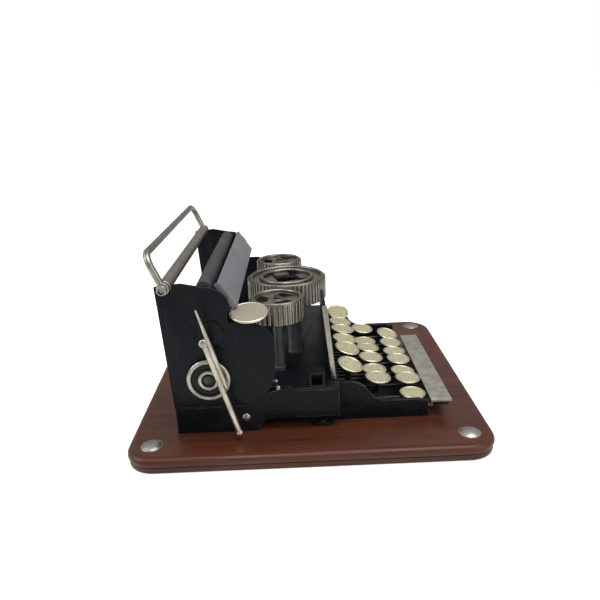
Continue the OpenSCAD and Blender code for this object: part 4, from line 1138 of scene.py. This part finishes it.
hub_ring = [(2.06, 0.0), (3.7, 0.0), (4.0, 0.3), (4.0, HUB_W - 0.3), (3.7, HUB_W), (2.06, HUB_W)]
for i in range(KEY_COUNT):
    row = i % 3
    name = f"key_{ROWS[row]}{i // 3 + 1}"
    place = i // 3
    x = LEVER_FIRST + i * LEVER_PITCH
    cap_x = CAP_FIRST[row] + place * CAP_SPREAD[row] * LEVER_PITCH
    cap_z = BOARD_TOP + CAP_H[row][place]
    lean = Euler(
        (math.radians(CAP_TILT[row][place]), math.radians(CAP_ROLL[row][place]), 0)
    ).to_matrix().to_4x4()
    cap_place = Matrix.Translation((cap_x, ROW_Y[row], cap_z)) @ lean
    disc, rim = key_top_parts(KEY_R, 1.8)
    hub = moved(turned(hub_ring, 36, True), facing("+X", x - HUB_W / 2, FULCRUM_Y, FULCRUM_Z))
    stem_l = math.hypot(cap_x - x, cap_z - FULCRUM_Z)
    stem = [
        (0.0, -1.2), (1.2, -1.2), (1.2, stem_l - 0.8), (1.9, stem_l - 0.2), (1.9, stem_l + 0.3),
        (0.0, stem_l + 0.3)
    ]
    slant = Matrix.Rotation(math.atan2(cap_x - x, cap_z - FULCRUM_Z), 4, "Y")
    stem = moved(turned(stem, 24), Matrix.Translation((x, ROW_Y[row], FULCRUM_Z)) @ slant)
    bar = lever_bar(x, 1.6, ROW_Y[row] - 1.2, FULCRUM_Y - 3.2, FULCRUM_Z - 1.5, FULCRUM_Z + 1.5)
    make_piece(name + "_lever", [hub, stem, bar], dark_steel, name, [name])
    make_piece(name + "_disc", [moved(disc, cap_place)], cream, name)
    make_piece(name + "_rim", [moved(rim, cap_place)], cream_rim, name)

make_piece(
    "fulcrum_bar", [bar_part("fulcrum_rod", 2.0, 0.3)], dark_steel, "frame", ["fulcrum_rod"]
)

coil_tree = bpy.data.node_groups.new("return_coils", "GeometryNodeTree")
coil_inputs = (
    ("Count", "Int"), ("Pitch", "Float"), ("Coil", "Float"), ("Wire", "Float"), ("Width", "Float"),
    ("Leg", "Float")
)
for socket, kind in coil_inputs:
    coil_tree.interface.new_socket(name=socket, in_out="INPUT", socket_type="NodeSocket" + kind)
coil_tree.interface.new_socket(name="First", in_out="INPUT", socket_type="NodeSocketVector")
coil_tree.interface.new_socket(name="Finish", in_out="INPUT", socket_type="NodeSocketMaterial")
coil_tree.interface.new_socket(name="Coils", in_out="OUTPUT", socket_type="NodeSocketGeometry")
given = coil_tree.nodes.new("NodeGroupInput").outputs
helix = put(
    coil_tree, "GeometryNodeCurveSpiral", {"Resolution": 18, "Rotations": 3.0, "Height": given["Width"]}
)
for socket in ("Start Radius", "End Radius"):
    coil_tree.links.new(given["Coil"], helix.inputs[socket])
laid = put(
    coil_tree, "GeometryNodeTransform", {"Geometry": helix.outputs[0], "Rotation": (0, math.pi / 2, 0)}
)
leg_low = put(coil_tree, "ShaderNodeCombineXYZ", {"Y": given["Coil"], "Z": given["Leg"]}).outputs[0]
leg_high = put(coil_tree, "ShaderNodeCombineXYZ", {"Y": given["Coil"]}).outputs[0]
leg = put(coil_tree, "GeometryNodeCurvePrimitiveLine", {"Start": leg_low, "End": leg_high})
wires = put(coil_tree, "GeometryNodeJoinGeometry")
coil_tree.links.new(laid.outputs[0], wires.inputs[0])
coil_tree.links.new(leg.outputs[0], wires.inputs[0])
section = put(coil_tree, "GeometryNodeCurvePrimitiveCircle", {"Resolution": 10, "Radius": given["Wire"]})
coil = put(
    coil_tree, "GeometryNodeCurveToMesh", {"Curve": wires.outputs[0], "Profile Curve": section.outputs[0]}
)
coil.inputs["Fill Caps"].default_value = True
spacing = put(coil_tree, "ShaderNodeCombineXYZ", {"X": given["Pitch"]}).outputs[0]
row_line = put(
    coil_tree, "GeometryNodeMeshLine",
    {"Count": given["Count"], "Start Location": given["First"], "Offset": spacing}
)
copies = put(
    coil_tree, "GeometryNodeInstanceOnPoints",
    {"Points": row_line.outputs[0], "Instance": coil.outputs[0]}
)
solid = put(coil_tree, "GeometryNodeRealizeInstances", {0: copies.outputs[0]})
painted = put(
    coil_tree, "GeometryNodeSetMaterial", {"Geometry": solid.outputs[0], "Material": given["Finish"]}
)
put(coil_tree, "NodeGroupOutput", {0: painted.outputs[0]})
WIRE_R = 0.35
coil_w = LEVER_PITCH - HUB_W - 0.6 - 2 * WIRE_R
coils = []
for first, count in ((0, 15), (16, 2)):
    first_x = LEVER_FIRST + (first + 0.5) * LEVER_PITCH - coil_w / 2
    coil_values = {"Count": count, "Pitch": LEVER_PITCH * MM, "Coil": 2.75 * MM, "Wire": WIRE_R * MM}
    coil_values.update({"Width": coil_w * MM, "Leg": -7.8 * MM, "Finish": dark_steel})
    coil_values["First"] = (first_x * MM, FULCRUM_Y * MM, FULCRUM_Z * MM)
    coils.append(run_tree(coil_tree, coil_values))
settle(joined(coils), "return_coils", dark_steel, "frame", ["key_springs"])

# ---- Space bar ----
# A plate of sheet metal over a black wooden beam, carried back to the fulcrum by two flat
# arms. Its plating is nearly gone, so that it shows grey and cream with a brighter front lip.
bar_metal, tree, shader = bare_material("space_bar_metal", Metallic=0.55, Specular_IOR_Level=0.4)
age = use_group(tree, age_group, {"Cloud Scale": 160.0, "Speck Scale": 1200.0})
edge = use_group(tree, edge_group, {"Width": 0.0009, "Low": 0.01, "High": 0.2})["Edge"]
mark = use_group(tree, rub_group, {"Scale": 420.0, "Low": 0.55, "High": 0.75})["Mark"]
bare = tint(tree, age["Cloud"], colour(0.43, 0.42, 0.35), colour(0.27, 0.265, 0.22))
bare = tint(tree, calc(tree, "MULTIPLY", age["Speck"], 0.7), bare, colour(0.12, 0.10, 0.07))
bare = tint(tree, calc(tree, "MULTIPLY", mark, 0.4), bare, colour(0.60, 0.58, 0.50))
tree.links.new(
    tint(tree, calc(tree, "MULTIPLY", edge, 0.9), bare, colour(0.78, 0.76, 0.68)), shader["Base Color"]
)
tree.links.new(spread(tree, age["Cloud"], 0.0, 1.0, 0.40, 0.62), shader["Roughness"])
relief(tree, shader, calc(tree, "SUBTRACT", mark, age["Speck"]), 0.00006)
softened("space_bar", bar_metal, 0.5, "space_bar")

black_wood, tree, shader = bare_material("black_wood", Specular_IOR_Level=0.35)
place = object_place(tree)
age = use_group(tree, age_group, {"Cloud Scale": 50.0, "Speck Scale": 1000.0})
fibres = noise(tree, place, 420.0, 5.0, 0.6, (0.05, 1.0, 1.0))
beam = tint(tree, spread(tree, fibres, 0.35, 0.7), colour(0.010, 0.010, 0.011), colour(0.024, 0.022, 0.020))
tree.links.new(
    tint(tree, calc(tree, "MULTIPLY", age["Speck"], 0.4), beam, colour(0.08, 0.05, 0.03)),
    shader["Base Color"]
)
tree.links.new(spread(tree, fibres, 0.3, 0.7, 0.38, 0.55), shader["Roughness"])
relief(tree, shader, fibres, 0.00008)
softened("space_beam", black_wood, 0.5, "space_bar")

# ---- Studio ----
# A plain pale floor under soft light from above, with the camera low on the machine's left side.
floor_mesh = bpy.data.meshes.new("floor")
floor_mesh.from_pydata([(-9, -9, 0), (9, -9, 0), (9, 9, 0), (-9, 9, 0)], [], [(0, 1, 2, 3)])
floor_finish, tree, shader = bare_material("pale_floor", Roughness=0.9, Specular_IOR_Level=0.1)
shader["Base Color"].default_value = colour(0.93, 0.93, 0.93)
shader["Emission Color"].default_value = colour(1, 1, 1)
looked_at = put(tree, "ShaderNodeLightPath").outputs["Is Camera Ray"]
FLOOR_GLOW = 0.66
tree.links.new(calc(tree, "MULTIPLY", looked_at, FLOOR_GLOW), shader["Emission Strength"])
floor_mesh.materials.append(floor_finish)
floor = loose_object("floor", floor_mesh)
floor.location.z = cad_low.z - 0.0004

world = bpy.data.worlds.new("studio")
bpy.context.scene.world = world
world.use_nodes = True
tree = world.node_tree
tree.nodes.clear()
height = put(
    tree, "ShaderNodeSeparateXYZ", {0: put(tree, "ShaderNodeTexCoord").outputs["Generated"]}
).outputs["Z"]
dome = tint(tree, spread(tree, height, -0.05, 0.75), colour(0.50, 0.51, 0.53), colour(1.05, 1.05, 1.05))
lamp_sky = put(tree, "ShaderNodeBackground", {"Color": dome, "Strength": 0.48})
plain_sky = put(tree, "ShaderNodeBackground", {"Color": colour(1, 1, 1), "Strength": 1.0})
seen = put(tree, "ShaderNodeLightPath").outputs["Is Camera Ray"]
sky = put(tree, "ShaderNodeMixShader", {0: seen, 1: lamp_sky.outputs[0], 2: plain_sky.outputs[0]})
put(tree, "ShaderNodeOutputWorld", {0: sky.outputs[0]})


def softbox(name, place, aim, width, height, watts):
    lamp = bpy.data.lights.new(name, "AREA")
    lamp.shape = "RECTANGLE"
    lamp.size = width
    lamp.size_y = height
    lamp.energy = watts
    stand = bpy.data.objects.new(name, lamp)
    bpy.context.scene.collection.objects.link(stand)
    stand.location = place
    stand.rotation_euler = (Vector(aim) - Vector(place)).to_track_quat("-Z", "Y").to_euler()


softbox("overhead", (-0.25, -0.15, 0.95), (0, 0, 0.05), 0.9, 0.6, 6.0)
softbox("window", (-0.15, 0.95, 0.65), (0, 0, 0.05), 0.5, 0.7, 4.0)
softbox("front_fill", (-0.7, -0.8, 0.45), (0, 0, 0.05), 0.5, 0.5, 2.0)

camera_data = bpy.data.cameras.new("camera")
camera_data.sensor_width = 36.0
camera_data.lens = 35.14
camera_data.shift_x = 0.0037
camera_data.shift_y = 0.0015
camera_data.clip_start = 0.01
camera = bpy.data.objects.new("camera", camera_data)
bpy.context.scene.collection.objects.link(camera)
heading = Matrix.Rotation(math.radians(-90.15), 4, "Z")
pitch = Matrix.Rotation(math.radians(90 - 18.30), 4, "X")
roll = Matrix.Rotation(math.radians(-2.35), 4, "Z")
camera.matrix_world = Matrix.Translation((-0.4303, 0.0058, 0.2159)) @ heading @ pitch @ roll
bpy.context.scene.camera = camera
bpy.context.scene.view_settings.view_transform = "Standard"
